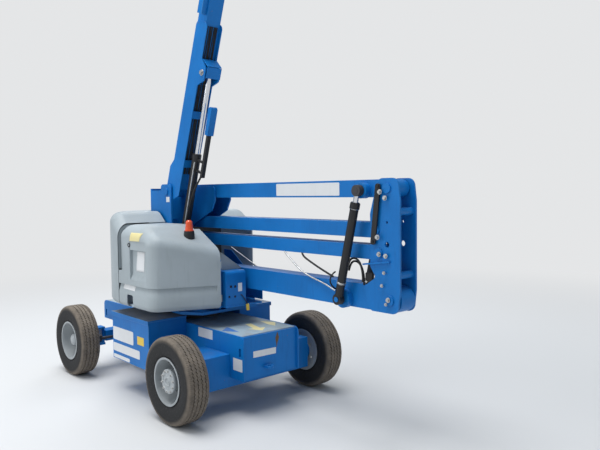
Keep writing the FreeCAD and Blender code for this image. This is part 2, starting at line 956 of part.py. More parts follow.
def tail_form(inset):
    """The tail cover's form, drawn inside its surface by inset: a disc cut by the side's outline."""
    disc = rod("Z", f"cover_out - {inset}", ("slew_offset", "0", "cover_low - 10"), "rear_top")
    side = side_plate(
        [
            ("slew_offset - cover_out - 10", f"cover_low + {inset}"),
            ("cover_seam - seam_gap", f"cover_low + {inset}"),
            ("cover_seam - seam_gap", f"cover_crest + 12 - {inset} * 1.3"),
            (f"rear_step - {inset} * 0.36", f"rear_top - {inset}"),
            ("slew_offset - cover_out - 10", f"rear_top - {inset}"),
        ],
        "-cover_out - 5",
        "cover_out + 5",
        [((3,), f"step_round - {inset}")],
    )
    topped = rounded(common(disc, side), f"rear_round - {inset}", upper_edge)
    return rounded(topped, f"low_round - {inset}", lower_edge)


def right_form(inset, back=None):
    """The right cover's form, drawn inside its surface by inset, at the seam by back: its plan cut by its side."""
    back = back or inset
    slope = "(cover_crest - nose_height) / (cover_nose - crest_end)"
    plan = flat_plate(
        [
            (f"cover_seam + {back}", f"-cover_out + {inset}"),
            (f"cover_corner - {inset} * 0.67", f"-cover_out + {inset}"),
            (f"cover_nose - {inset} * 1.08", "-cover_inner"),
            ("relief_end", "-cover_inner"),
            ("relief_end", "-cover_relief"),
            (f"cover_seam + {back}", "-cover_relief"),
        ],
        f"cover_low + {inset}",
        "cover_crest + 10",
        [((1,), f"corner_round - {inset}")],
    )
    beyond = "cover_nose + 95"
    side = side_plate(
        [
            (f"cover_seam + {back}", f"cover_low + {inset}"),
            (beyond, f"cover_low + {inset}"),
            (beyond, f"cover_crest - ({beyond} - crest_end) * {slope} - {inset} * 1.142"),
            (f"crest_end - {inset} * 0.257", f"cover_crest - {inset}"),
            (f"cover_seam + {back}", f"cover_crest - {inset}"),
        ],
        "-cover_out - 10",
        "-cover_inner + 10",
        [((3,), f"crest_round - {inset}")],
    )
    topped = rounded(common(plan, side), f"top_round - {inset}", upper_edge)
    return rounded(topped, f"low_round - {inset}", lower_edge)


def band_recess():
    """The band round the right cover, its floor sloping out to the surface at its foot."""
    core = flat_plate(
        [
            ("cover_seam - 100", "-cover_out"),
            ("cover_corner", "-cover_out"),
            ("cover_nose + corner_run / 5", "-cover_inner + (cover_out - cover_inner) / 5"),
            ("cover_seam - 100", "0"),
        ],
        "groove_low",
        "groove_high",
        [((1,), "corner_round")],
    )

    def rim(edge):
        middle = edge.CenterOfMass
        return middle.z > value("groove_high") - 1 and middle.x > 0 and middle.y < value("-cover_inner")

    return cut(
        block(
            ("cover_seam - 1", "-cover_out - 50", "groove_low"),
            ("cover_nose + 50", "-cover_inner - 29", "groove_high"),
        ),
        sloped(core, "groove_high - groove_low - 0.5", "groove_deep", rim),
    )


def covers():
    """The moulded covers, the weight inside the tail and the beacon on the right cover."""
    mouth = block(
        ("rear_mouth", "-cover_relief - 4", "0"),
        ("cover_out + 500", "cover_relief + 16", "rear_top + 100"),
    )
    foot = rod("Z", "cover_out - cover_lip", ("slew_offset", "0", "cover_low - 1"), "cover_wall + 2")
    node("cover_rear", cut(tail_form("0"), tail_form("cover_wall"), mouth, foot))

    # The weight stands inside the cover's lip and fills the cover above its rounded foot
    shoulder = "(cover_low + low_round + 4)"
    weight = cut(
        fuse(
            rod("Z", "cover_out - cover_lip - 6",
                ("slew_offset", "0", "table_low + table_thick + seat_gap"),
                f"{shoulder} - table_low - table_thick"),
            rod("Z", "cover_out - cover_wall - seat_gap",
                ("slew_offset", "0", shoulder),
                f"weight_height - {shoulder}"),
        ),
        block(
            ("weight_front", "-cover_out", "0"),
            ("cover_out + 500", "cover_out", "2 * rear_top"),
        ),
    )
    node("counterweight", weight)

    # The right cover is thicker behind its recesses: the band, the channel and the door
    outer = right_form("0")
    zones = fuse(
        block(
            ("cover_seam - 1", "-cover_out - 1", "groove_low - 10"),
            ("cover_nose + 10", "-cover_inner", "groove_high + 10"),
        ),
        block(
            ("cover_seam - 1", "-cover_out - 1", "channel_low - 10"),
            ("cover_seam + channel_wide + 10", "-channel_end + 10", "cover_crest + 1"),
        ),
        block(
            ("door_back - 10", "-cover_out - 1", "door_low - 11"),
            ("door_front + 10", "-cover_out + recess_wall + 1", "door_high + 11"),
        ),
    )
    thick = common(cut(right_form("0"), right_form("recess_wall", "-1")), zones)
    channel = cut(
        side_plate(
            [
                ("cover_seam - 1", "channel_low"),
                ("cover_seam + channel_wide", "channel_low"),
                ("cover_seam + channel_wide", "cover_crest + 10"),
                ("cover_seam - 1", "cover_crest + 10"),
            ],
            "-cover_out - 10",
            "-channel_end",
            [((1,), "40")],
        ),
        right_form("channel_deep", "-2"),
    )
    door = side_plate(
        [
            ("door_back", "door_low"),
            ("door_front", "door_low"),
            ("door_front", "door_high"),
            ("door_back", "door_high"),
        ],
        "-cover_out - 10",
        "-cover_out + door_deep",
        [((0, 1, 2, 3), "18")],
    )
    window = place(
        padded(
            "YZ_Plane",
            [
                ("-cover_out - 10", "door_low + 4"),
                ("-cover_out + door_deep", "door_low + 4"),
                ("-cover_out + window_deep", "window_low"),
                ("-cover_out + window_deep", "window_high"),
                ("-cover_out - 10", "window_high"),
            ],
            "door_front - door_back - 12",
        ),
        ("door_back + 4", "0", "0"),
    )
    notch = side_plate(
        [
            ("notch_back", "cover_low - 10"),
            ("notch_front", "cover_low - 10"),
            ("notch_front - 8", "notch_high"),
            ("notch_back + 8", "notch_high"),
        ],
        "-cover_out - 10",
        "-cover_out + 90",
        [((2, 3), "20")],
    )
    lip = "cover_lip"
    foot = flat_plate(
        [
            (f"cover_seam + {lip}", f"-cover_out + {lip}"),
            (f"cover_corner - {lip} * 0.67", f"-cover_out + {lip}"),
            (f"cover_nose - {lip} * 1.08", "-cover_inner + 1"),
            (f"cover_seam + {lip}", "-cover_inner + 1"),
        ],
        "cover_low - 1",
        "cover_low + cover_wall + 1",
        [((1,), f"corner_round - {lip}")],
    )
    sleeves = []
    for low in ("hinge_low", "hinge_high"):
        sleeves.append(rod("Z", "hinge_pin + 6", ("hinge_x", "-hinge_side", low), "hinge_long"))
        sleeves.append(
            block(
                ("hinge_x", "-cover_inner - 30", low),
                ("hinge_x + 6", "-hinge_side", f"{low} + hinge_long"),
            )
        )
        sleeves.append(
            block(
                ("hinge_x", "-cover_inner - 30", low),
                ("cover_nose - cover_wall", "-cover_inner - 22", f"{low} + hinge_long"),
            )
        )
    shell = fuse(cut(outer, right_form("cover_wall")), thick, *sleeves)
    bore = rod("Z", "hinge_pin + pin_clear", ("hinge_x", "-hinge_side", "0"), "rear_top")
    node("cover_right", cut(shell, band_recess(), channel, door, window, notch, foot, bore))

    foot_z = "cover_crest - (beacon_x - crest_end) * (cover_crest - nose_height) / (cover_nose - crest_end)"
    lamp = turned(
        [
            ("0", "0"),
            ("beacon_radius + 12", "0"),
            ("beacon_radius + 8", "beacon_foot"),
            ("beacon_radius", "beacon_foot + 2"),
            ("beacon_radius * 0.82", "beacon_foot + beacon_tall - 16"),
            ("beacon_radius * 0.5", "beacon_foot + beacon_tall"),
            ("0", "beacon_foot + beacon_tall"),
        ],
        "Z",
    )
    lamp = place(lamp, ("beacon_x", "beacon_y", f"{foot_z} + 20"))
    stem = rod("Z", "beacon_radius + 12", ("beacon_x", "beacon_y", f"{foot_z} - 60"), "81")
    seat = place(right_form("0"), ("0", "0", "seat_gap"))
    node("beacon", cut(fuse(lamp, stem), seat))


def arm(x, z, deep, extra=()):
    """One bar of the riser: a hollow box between two bosses, bored for its pins."""
    low = "arm_side - arm_width / 2"
    high = "arm_side + arm_width / 2"
    outer = block((x, low, f"{z} - {deep} / 2"), (f"{x} + arm_length", high, f"{z} + {deep} / 2"))
    hollow = block(
        (f"{x} + pin_radius + boss_wall + 30", f"{low} + arm_wall", f"{z} - {deep} / 2 + arm_wall"),
        (
            f"{x} + arm_length - pin_radius - boss_wall - 30",
            f"{high} - arm_wall",
            f"{z} + {deep} / 2 - arm_wall",
        ),
    )
    ends = []
    bores = []
    for end in ("0", "arm_length"):
        ends.append(rod("Y", f"{deep} / 2", (f"{x} + {end}", low, z), "arm_width"))
        bores.append(rod("Y", "pin_radius + pin_clear", (f"{x} + {end}", f"{low} - 1", z), "arm_width + 2"))
    return cut(fuse(outer, *ends, *extra), hollow, *bores)


def riser():
    """Four bars, the mid pivot between them and the two cylinders that open it."""
    lugs = []
    for s in (-1, 1):
        near, far = sorted(
            (f"arm_side + {s} * (arm_width / 2 - 1)", f"arm_side + {s} * (riser_side + riser_eye_wide / 2 + 6)"),
            key=value,
        )
        lugs.append(rod("Y", "riser_pin", ("riser_foot_x", near, "riser_foot_z"), f"({far}) - ({near})"))
        near, far = sorted(
            (f"arm_side + {s} * (arm_width / 2 - 1)", f"arm_side + {s} * (riser_side - riser_barrel_radius - 6)"),
            key=value,
        )
        lugs.append(rod("Y", "72", ("riser_foot_x", near, "riser_foot_z"), f"({far}) - ({near})"))
    node("lower_arm", arm("lower_arm_x", "lower_arm_z", "lower_arm_deep", lugs))
    node("lower_link", arm("lower_link_x", "lower_link_z", "lower_link_deep"))
    lugs = []
    for s in (-1, 1):
        near, far = sorted(
            (f"arm_side + {s} * (arm_width / 2 - 1)", f"arm_side + {s} * (riser_side - riser_eye_wide / 2 - 3)"),
            key=value,
        )
        lugs.append(rod("Y", "58", ("riser_head_x", near, "riser_head_z"), f"({far}) - ({near})"))
    node("upper_arm", arm("upper_arm_x", "upper_arm_z", "upper_arm_deep", lugs))
    node("upper_link", arm("upper_link_x", "upper_link_z", "upper_link_deep"))

    pieces = []
    edge = [
        ("mid_back_low", "mid_low"),
        ("mid_front - 20", "mid_low"),
        ("mid_front", "mid_low + 160"),
        ("mid_front", "mid_high - 160"),
        ("mid_front - 20", "mid_high"),
        ("mid_back_high", "mid_high"),
        ("mid_back_high - 75", "mid_high - 260"),
        ("mid_back_low", "mid_high - 460"),
        ("mid_back_low - 11", "mid_notch_z + 80"),
        ("mid_notch_x", "mid_notch_z"),
        ("mid_back_low - 71", "mid_notch_z - 74"),
        ("mid_back_low - 40", "mid_low + 60"),
    ]
    for low in ("arm_side - arm_width / 2 - arm_gap - plate_thick", "arm_side + arm_width / 2 + arm_gap"):
        pieces.append(
            side_plate(
                edge,
                low,
                f"{low} + plate_thick",
                [((1, 4, 5), "mid_round"), ((0, 9, 10), "26"), ((6, 7, 8), "40")],
            )
        )
    for x, z in (
        ("lower_arm_x", "lower_arm_z"),
        ("lower_link_x", "lower_link_z"),
        ("upper_arm_x", "upper_arm_z"),
        ("upper_link_x", "upper_link_z"),
    ):
        pieces.append(pin_across(f"{x} + arm_length", z))
    for x, z in (("mid_front - 45", "mid_low + 275"), ("mid_front - 45", "mid_high - 240")):
        pieces.append(
            rod(
                "Y",
                "cross_tube",
                (x, "arm_side - arm_width / 2 - arm_gap - 1", z),
                "arm_width + 2 * arm_gap + 2",
            )
        )
    # A ledge on the near plate and two holes through both plates
    near = "arm_side - arm_width / 2 - arm_gap - plate_thick"
    pieces.append(
        side_plate(
            [
                ("mid_back_low - 70", "mid_notch_z + 84"),
                ("mid_front - 85", "mid_notch_z + 118"),
                ("mid_front - 85", "mid_notch_z + 130"),
                ("mid_back_low - 70", "mid_notch_z + 96"),
            ],
            f"{near} - 18",
            f"{near} + 1",
        )
    )
    holes = [
        rod("Y", radius, ("mid_hole_x", f"{near} - 1", z), "arm_width + 2 * arm_gap + 2 * plate_thick + 2")
        for z, radius in (("mid_high - 478", "21"), ("mid_high - 317", "10"))
    ]
    node("mid_pivot", cut(fuse(*pieces), *holes))

    # The black link over the near plate's pin heads, a bolt at each end
    link = [
        ("mid_link_x + 22", "mid_link_z - 10"),
        ("mid_link_x + 73", "mid_link_z + mid_link_tall + 10"),
        ("mid_link_x + 29", "mid_link_z + mid_link_tall + 14"),
        ("mid_link_x - 22", "mid_link_z - 10"),
    ]
    face = f"({near} - pin_head - seat_gap)"
    bolts = [
        rod("Y", "11", (x, f"{face} - 18", z), "18 + pin_head")
        for x, z in (
            ("mid_link_x", "mid_link_z + 12"),
            ("mid_link_x + 50", "mid_link_z + mid_link_tall - 8"),
        )
    ]
    bar = side_plate(link, f"{face} - 11", face, [((0, 1, 2, 3), "18")])
    node("mid_link", fuse(bar, *bolts))

    # The cylinders lie along the line from foot to head, barrel at the foot
    run = ("riser_head_x - riser_foot_x", "riser_head_z - riser_foot_z")
    angle = math.degrees(math.atan2(value(run[1]), value(run[0])))
    reach = f"sqrt(({run[0]}) ^ 2 + ({run[1]}) ^ 2)"
    barrels = []
    rods = []
    for s in (-1, 1):
        at = ("riser_foot_x", f"arm_side + {s} * riser_side", "riser_foot_z")
        tube = barrel(
            "riser_barrel_radius",
            "riser_barrel_long",
            "riser_eye",
            "riser_eye_wide",
            "riser_pin",
            "riser_rod_radius",
        )
        bar = ram(
            "riser_rod_radius", "riser_rod_long", "riser_eye", "riser_eye_wide", "riser_pin", reach
        )
        barrels.append(turned_by(tube, at, angle))
        rods.append(turned_by(bar, at, angle))
    node("riser_barrels", group(*barrels))
    node("riser_rods", group(*rods))


def barrel(radius, length, eye, eye_wide, pin, inside):
    """A cylinder barrel along +X: its eye at the origin, its head bored for the rod inside."""
    tube = rod("X", radius, (f"{eye} * 0.6", "0", "0"), f"{length} - {eye} * 0.6")
    gland = rod("X", f"{radius} + 5", (f"{length} - 46", "0", "0"), "40")
    lug = rod("Y", eye, ("0", f"-{eye_wide} / 2", "0"), eye_wide)
    bore = rod("X", f"{radius} - cylinder_wall", (f"{eye} + 20", "0", "0"), f"{length} - {eye} - 66")
    mouth = rod("X", f"{inside} + pin_clear", (f"{eye} + 20", "0", "0"), length)
    hole = rod("Y", f"{pin} + pin_clear", ("0", f"-{eye_wide} / 2 - 1", "0"), f"{eye_wide} + 2")
    return cut(fuse(tube, gland, lug), bore, mouth, hole)


def ram(radius, length, eye, eye_wide, pin, reach):
    """A cylinder's rod along +X, its eye and short pin at reach from the barrel's eye."""
    bar = rod("X", radius, (f"{reach} - {length}", "0", "0"), length)
    piston = rod("X", f"{radius} + 5", (f"{reach} - {length}", "0", "0"), "30")
    lug = rod("Y", eye, (reach, f"-{eye_wide} / 2", "0"), eye_wide)
    cap = rod("Y", pin, (reach, f"-{eye_wide} / 2 - 2", "0"), f"{eye_wide} + 4")
    return fuse(bar, piston, lug, cap)


def upper_pivot():
    """The frame at the riser's top: four plates, the back web and the tube that join them."""
    near_low = "boom_side - boom_width / 2 - boom_cheek - cheek_gap - pivot_plate"
    mid_low = "boom_side + boom_width / 2 + boom_cheek + cheek_gap"
    arm_low = "arm_side - arm_width / 2 - arm_gap - plate_thick"
    arm_high = "arm_side + arm_width / 2 + arm_gap"
    # A C open to the front: down the back, then forward under the cylinder's foot
    hook = [
        ("boom_pin_x - 105", "boom_pin_z - 300"),
        ("boom_pin_x - 60", "boom_pin_z - 420"),
        ("lift_foot_x - 10", "pivot_low"),
        ("lift_foot_x + 62", "pivot_low"),
        ("lift_foot_x + 62", "lift_foot_z + 58"),
        ("lift_foot_x - 50", "lift_foot_z + 70"),
        ("boom_pin_x + 85", "boom_pin_z - 250"),
        ("boom_pin_x + 85", "pivot_top"),
        ("boom_pin_x - 105", "pivot_top"),
    ]
    pieces = [
        side_plate(hook, low, f"{low} + pivot_plate", [((3, 4, 7, 8), "40"), ((0, 1, 6), "60")])
        for low in (near_low, mid_low)
    ]
    cheek = [
        ("pivot_back", "pivot_arm_low"),
        ("upper_link_x + 80", "pivot_arm_low"),
        ("pivot_front - 60", "upper_link_z + 110"),
        ("pivot_front", "upper_arm_z - 90"),
        ("pivot_front", "pivot_top - 30"),
        ("pivot_back", "pivot_top"),
    ]
    for low in (arm_low, arm_high):
        pieces.append(side_plate(cheek, low, f"{low} + plate_thick", [((0, 1, 4, 5), "36")]))
    pieces.append(
        block(("pivot_back", near_low, "pivot_arm_low + 40"), ("pivot_back + pivot_web", f"{arm_high} + plate_thick", "pivot_top - 40"))
    )
    for low in (near_low, mid_low):
        pieces.append(
            block(("pivot_back", low, "pivot_arm_low + 100"), ("boom_pin_x - 100", f"{low} + pivot_plate", "pivot_top - 60"))
        )
    for x, z in (("upper_arm_x", "upper_arm_z"), ("upper_link_x", "upper_link_z")):
        pieces.append(pin_across(x, z))
    pin_low = f"{near_low} - pin_head"
    pieces.append(
        rod("Y", "pin_radius", ("boom_pin_x", pin_low, "boom_pin_z"), f"({mid_low}) + pivot_plate - ({pin_low}) + 6")
    )
    pieces.append(rod("Y", "pin_radius + 12", ("boom_pin_x", pin_low, "boom_pin_z"), "pin_head + 1"))
    pieces.append(
        rod("Y", "lift_pin", ("lift_foot_x", pin_low, "lift_foot_z"), f"({mid_low}) + pivot_plate - ({pin_low})")
    )
    pieces.append(rod("Y", "lift_pin + 12", ("lift_foot_x", pin_low, "lift_foot_z"), "pin_head + 1"))
    node("upper_pivot", fuse(*pieces))


def boom():
    """The boom, in its own frame along +X from its pin, then raised to its angle."""
    angle = SIZES["boom_angle"]
    top = "-boom_drop"
    low = "-boom_drop - boom_deep"
    half = "boom_width / 2"
    outer = block(("boom_start", f"-{half}", low), ("boom_long", half, top))
    hollow = block(
        ("boom_start + boom_wall", f"-{half} + boom_wall", f"{low} + boom_wall"),
        ("boom_long + 1", f"{half} - boom_wall", f"{top} - boom_wall"),
    )
    cheek = [
        ("-cheek_back", "-cheek_deep + 70"),
        ("20", "-cheek_deep - 14"),
        ("cheek_long", "-cheek_deep - 14"),
        ("cheek_long", "-14"),
        ("330", "-14"),
        ("250", "36"),
        ("-cheek_back", "36"),
    ]
    cheeks = [
        side_plate(cheek, a, b, [((2, 3), "48"), ((0, 1, 4, 5, 6), "30")])
        for a, b in ((f"-{half} - boom_cheek", f"-{half}"), (half, f"{half} + boom_cheek"))
    ]
    ear = [
        ("lift_head_along - ear_long / 2", "-cheek_deep"),
        ("lift_head_along - 60", "-lift_head_drop - 48"),
        ("lift_head_along + 50", "-lift_head_drop - 48"),
        ("lift_head_along + ear_long / 2", "-cheek_deep"),
    ]
    ears = [
        side_plate(ear, a, b, [((1, 2), "30")])
        for a, b in (
            (f"-{half} - boom_cheek", f"-{half} - boom_cheek + ear_thick"),
            (f"{half} + boom_cheek - ear_thick", f"{half} + boom_cheek"),
        )
    ]
    straps = [
        block(
            (f"strap_first + {i} * strap_pitch - strap_wide / 2", f"-{half} - 1", "-cheek_deep - 14"),
            (f"strap_first + {i} * strap_pitch + strap_wide / 2", f"{half} + 1", "-cheek_deep - 14 + strap_thick"),
        )
        for i in (0, 1)
    ]
    sleeve = rod("Y", "pin_radius + boss_wall", ("0", f"-{half} - 1", "0"), "boom_width + 2")
    tail = block(("0", f"-{half} - 1", "-60"), ("boom_start + 1", f"{half} + 1", "-boom_drop"))
    bore = rod("Y", "pin_radius + pin_clear", ("0", f"-{half} - boom_cheek - 1", "0"), "boom_width + 2 * boom_cheek + 2")
    # Wear pads at the mouth hold the extension
    middle = f"({low} + {top}) / 2"
    pads = cut(
        block(("boom_long - pad_long", f"-{half} + 1", f"{low} + 1"), ("boom_long", f"{half} - 1", f"{top} - 1")),
        block(
            (
                "boom_long - pad_long - 1",
                "-inner_wide / 2 - pad_clear",
                f"{middle} - inner_deep / 2 - pad_clear",
            ),
            ("boom_long + 1", "inner_wide / 2 + pad_clear", f"{middle} + inner_deep / 2 + pad_clear"),
        ),
    )
    shell = cut(fuse(outer, *cheeks, *ears, *straps, sleeve, tail), hollow, bore)
    node("boom", turned_by(fuse(shell, pads), BOOM_PLACE, angle))

    # The cable track's tray on the right side of the boom, open at the top
    side = f"-{half}"
    tray = cut(
        block(
            ("tray_start", f"{side} - tray_out", f"{low} + 20"),
            ("tray_start + tray_long", f"{side} - seat_gap", f"{low} + 20 + tray_deep"),
        ),
        block(
            ("tray_start - 1", f"{side} - tray_out + tray_wall", f"{low} + 20 + tray_wall"),
            ("tray_start + tray_long + 1", f"{side} - tray_wall", f"{low} + 21 + tray_deep"),
        ),
    )
    node("cable_track_tray", turned_by(tray, BOOM_PLACE, angle))

    inner = cut(
        block(
            ("inner_start", "-inner_wide / 2", "-boom_drop - boom_deep / 2 - inner_deep / 2"),
            ("head_along - 70", "inner_wide / 2", "-boom_drop - boom_deep / 2 + inner_deep / 2"),
        ),
        block(
            ("inner_start - 1", "-inner_wide / 2 + inner_wall", "-boom_drop - boom_deep / 2 - inner_deep / 2 + inner_wall"),
            ("head_along - 90", "inner_wide / 2 - inner_wall", "-boom_drop - boom_deep / 2 + inner_deep / 2 - inner_wall"),
        ),
    )
    head = cut(
        fuse(
            rod("Y", "head_eye", ("head_along", "-inner_wide / 2", "-head_drop"), "inner_wide"),
            block(("head_along - 72", "-inner_wide / 2", "-head_drop - 50"), ("head_along", "inner_wide / 2", "-head_drop + 50")),
        ),
        rod("Y", "head_pin + pin_clear", ("head_along", "-inner_wide", "-head_drop"), "2 * inner_wide"),
    )
    node("boom_extension", turned_by(fuse(inner, head), BOOM_PLACE, angle))

    # The lift cylinder, from its foot on the upper pivot to its head under the boom
    head_x = boom_x(SIZES["lift_head_along"], -SIZES["lift_head_drop"])
    head_z = boom_z(SIZES["lift_head_along"], -SIZES["lift_head_drop"])
    run = (head_x - SIZES["lift_foot_x"], head_z - SIZES["lift_foot_z"])
    lean = math.degrees(math.atan2(run[1], run[0]))
    reach = str(round(math.hypot(*run), 4))
    at = ("lift_foot_x", "boom_side", "lift_foot_z")
    tube = barrel(
        "lift_barrel_radius",
        "lift_barrel_long",
        "lift_eye",
        "lift_eye_wide",
        "lift_pin",
        "lift_rod_radius",
    )
    bar = ram("lift_rod_radius", "lift_rod_long", "lift_eye", "lift_eye_wide", "lift_pin", reach)
    node("lift_barrel", turned_by(tube, at, lean))
    node("lift_rod", turned_by(bar, at, lean))


def platform():
    """The bracket on the boom's head, the rotator and the railed platform with its gate."""
    head_x = str(round(boom_x(SIZES["head_along"], -SIZES["head_drop"]), 3))
    head_z = str(round(boom_z(SIZES["head_along"], -SIZES["head_drop"]), 3))
    turn_x = f"{head_x} + bracket_reach"
    ear_gap = "inner_wide / 2 + cheek_gap"
    ears = []
    for low in (f"boom_side - ({ear_gap}) - bracket_plate", f"boom_side + {ear_gap}"):
        ears.append(
            side_plate(
                [
                    (f"{head_x} - 60", f"{head_z} - 60"),
                    (f"{head_x} + 130", f"{head_z} - 200"),
                    (f"{head_x} + 130", f"{head_z} + 70"),
                    (f"{head_x} - 60", f"{head_z} + 60"),
                ],
                low,
                f"{low} + bracket_plate",
                [((0, 3), "50")],
            )
        )
    pin = rod(
        "Y",
        "head_pin",
        (head_x, f"boom_side - ({ear_gap}) - bracket_plate - 8", head_z),
        f"2 * ({ear_gap}) + 2 * bracket_plate + 16",
    )
    back = block(
        (f"{head_x} + 116", f"boom_side - ({ear_gap}) - bracket_plate", f"{head_z} - 200"),
        (f"{head_x} + 134", f"boom_side + {ear_gap} + bracket_plate", f"{head_z} + 70"),
    )
    seat = rod("Z", "rotator_radius", (turn_x, "boom_side", f"{head_z} - 190"), "rotator_tall")
    neck = block(
        (f"{head_x} + 120", "boom_side - rotator_radius + 16", f"{head_z} - 180"),
        (turn_x, "boom_side + rotator_radius - 16", f"{head_z} - 200 + rotator_tall"),
    )
    clear = rod("Z", "rotator_bore", (turn_x, "boom_side", f"{head_z} - 400"), "800")
    node("platform_bracket", cut(fuse(*ears, pin, back, seat, neck), clear))

    # The rotator's shaft and post, the arm forward from it and the beams under the floor
    floor_z = f"{head_z} - floor_drop"
    back_x = f"({turn_x} + platform_gap)"
    front_x = f"({turn_x} + platform_gap + platform_deep)"
    half = "platform_long / 2"
    shaft = rod(
        "Z", "rotator_bore - pin_clear", (turn_x, "boom_side", f"{floor_z} + 40"), "floor_drop - 60"
    )
    cap = rod(
        "Z", "rotator_radius - 10", (turn_x, "boom_side", f"{head_z} - 190 + rotator_tall + 1"), "16"
    )
    post = block(
        (f"{turn_x} - mount_bar / 2", "boom_side - mount_bar / 2", f"{floor_z} - beam_deep"),
        (f"{turn_x} + mount_bar / 2", "boom_side + mount_bar / 2", f"{head_z} - 207"),
    )
    reach = block(
        (turn_x, "boom_side - mount_bar / 2", f"{floor_z} - beam_deep"),
        (f"{back_x} + 60", "boom_side + mount_bar / 2", f"{floor_z} - 4"),
    )
    beams = [
        block(
            (f"{back_x} + 10", "-beam_side", f"{floor_z} - beam_deep"),
            (f"{back_x} + 120", "beam_side", f"{floor_z} - seat_gap"),
        )
    ]
    for low in ("-beam_side", "beam_side - beam_deep"):
        beams.append(
            block(
                (f"{back_x} + 10", low, f"{floor_z} - beam_deep"),
                (f"{front_x} - 10", f"{low} + beam_deep", f"{floor_z} - seat_gap"),
            )
        )
    node("platform_mount", fuse(shaft, cap, post, reach, *beams))

    edge = "(rail_base + seat_gap)"
    floor = block(
        (f"{back_x} + {edge}", f"-{half} + {edge}", floor_z),
        (f"{front_x} - {edge}", f"{half} - {edge}", f"{floor_z} + floor_thick"),
    )
    node("platform_floor", floor)

    # A frame around the floor carries posts, rails and toe boards, open at the right end for the gate
    base = cut(
        block((back_x, f"-{half}", floor_z), (front_x, half, f"{floor_z} + floor_thick")),
        block(
            (f"{back_x} + rail_base", f"-{half} + rail_base", f"{floor_z} - 1"),
            (f"{front_x} - rail_base", f"{half} - rail_base", f"{floor_z} + floor_thick + 1"),
        ),
    )
    x_back = f"{back_x} + rail_base / 2"
    x_front = f"{front_x} - rail_base / 2"
    y_right = f"-{half} + rail_base / 2"
    y_left = f"{half} - rail_base / 2"
    foot = f"{floor_z} + floor_thick - 1"
    rails = [base]
    for x in (x_back, x_front):
        for y in (y_right, y_left):
            rails.append(rod("Z", "rail_post", (x, y, foot), "rail_height + rail_radius + 2 - floor_thick"))
        rails.append(rod("Z", "rail_post", (x, "0", foot), "rail_height - floor_thick - 5"))
    for level in ("rail_height", "rail_mid"):
        z = f"{floor_z} + {level}"
        for x in (x_back, x_front):
            rails.append(rod("Y", "rail_radius", (x, y_right, z), "platform_long - rail_base"))
        ends = (y_right, y_left) if level == "rail_height" else (y_left,)
        for y in ends:
            rails.append(
                rod(
                    "X",
                    "rail_radius - 1",
                    (f"{x_back} + rail_radius / 2", y, z),
                    "platform_deep - rail_base - rail_radius",
                )
            )
    board = f"{floor_z} + toe_board"
    toes = [
        block((f"{x} - toe_thick / 2", y_right, foot), (f"{x} + toe_thick / 2", y_left, board))
        for x in (x_back, x_front)
    ]
    toes.append(
        block(
            (x_back, f"{y_left} - toe_thick / 2", foot),
            (x_front, f"{y_left} + toe_thick / 2", board),
        )
    )
    # The gate fills the right end and swings in about a pin on the back post
    gate_x = f"{x_back} + rail_post + gate_gap"
    gate_end = f"{x_front} - rail_post - gate_gap"
    gate_low = f"{floor_z} + floor_thick + 30"
    gate_high = f"{floor_z} + rail_height - rail_radius - 14"
    pin_x = f"{gate_x} + gate_bar / 2"
    rails.append(
        rod("Z", "gate_pin", (pin_x, y_right, f"{gate_low} - 14"), "rail_height - floor_thick - 16")
    )
    rails.append(
        block((x_back, f"{y_right} - 10", f"{gate_low} - 16"), (f"{pin_x} + 10", f"{y_right} + 10", f"{gate_low} - 6"))
    )
    node("platform_rails", fuse(*rails, *toes))

    gate = cut(
        block((gate_x, f"{y_right} - gate_bar / 2", gate_low), (gate_end, f"{y_right} + gate_bar / 2", gate_high)),
        block(
            (f"{gate_x} + gate_bar", f"{y_right} - gate_bar", f"{gate_low} + 120"),
            (f"{gate_end} - gate_bar", f"{y_right} + gate_bar", f"{floor_z} + rail_mid - 16"),
        ),
        block(
            (f"{gate_x} + gate_bar", f"{y_right} - gate_bar", f"{floor_z} + rail_mid + 16"),
            (f"{gate_end} - gate_bar", f"{y_right} + gate_bar", f"{gate_high} - gate_bar"),
        ),
        rod("Z", "gate_pin + pin_clear", (pin_x, y_right, floor_z), "rail_height"),
    )
    node("platform_gate", gate)

    # The control console on the rail beside the boom
    face = f"{x_back} + rail_post + seat_gap"
    top = f"{floor_z} + rail_height"
    console = side_plate(
        [
            (face, f"{top} - console_tall"),
            (f"{face} + console_deep", f"{top} - console_tall"),
            (f"{face} + console_deep", f"{top} - 60"),
            (f"{face} + 60", f"{top} + 30"),
            (face, f"{top} + 30"),
        ],
        "console_side - console_wide / 2",
        "console_side + console_wide / 2",
        [((2, 3), "20")],
    )
    node("platform_console", console)


def check_and_write():
    """Stops on anything that failed to build, then writes one file for each sub-part."""
    doc.recompute()
    for item in doc.Objects:
        if "Invalid" in item.State or "Error" in item.State:
            raise RuntimeError(f"{item.Label} did not build: {item.State}")
    for item in NODES:
        shape = item.Shape
        if shape.isNull() or not shape.isValid() or not shape.Solids:
            raise RuntimeError(f"{item.Label} is not a valid solid")
        if min(solid.Volume for solid in shape.Solids) <= 0:
            raise RuntimeError(f"{item.Label} has an empty solid")
        shape.exportStep(f"parts/{item.Label}.step")
        box = shape.BoundBox
        print(
            f"{item.Label:22s} {len(shape.Solids)} {shape.Volume / 1e9:8.5f}"
            f"  x {box.XMin:8.1f} {box.XMax:8.1f}  y {box.YMin:8.1f} {box.YMax:8.1f}"
            f"  z {box.ZMin:8.1f} {box.ZMax:8.1f}"
        )


chassis()
wheels()
turntable()
covers()
riser()
upper_pivot()
boom()
platform()
check_and_write()
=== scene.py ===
"""The looks of the articulating boom lift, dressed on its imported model. Metres, +Z up."""

import math

import bpy
import bmesh
from mathutils import Matrix, Quaternion, Vector
from mathutils.bvhtree import BVHTree


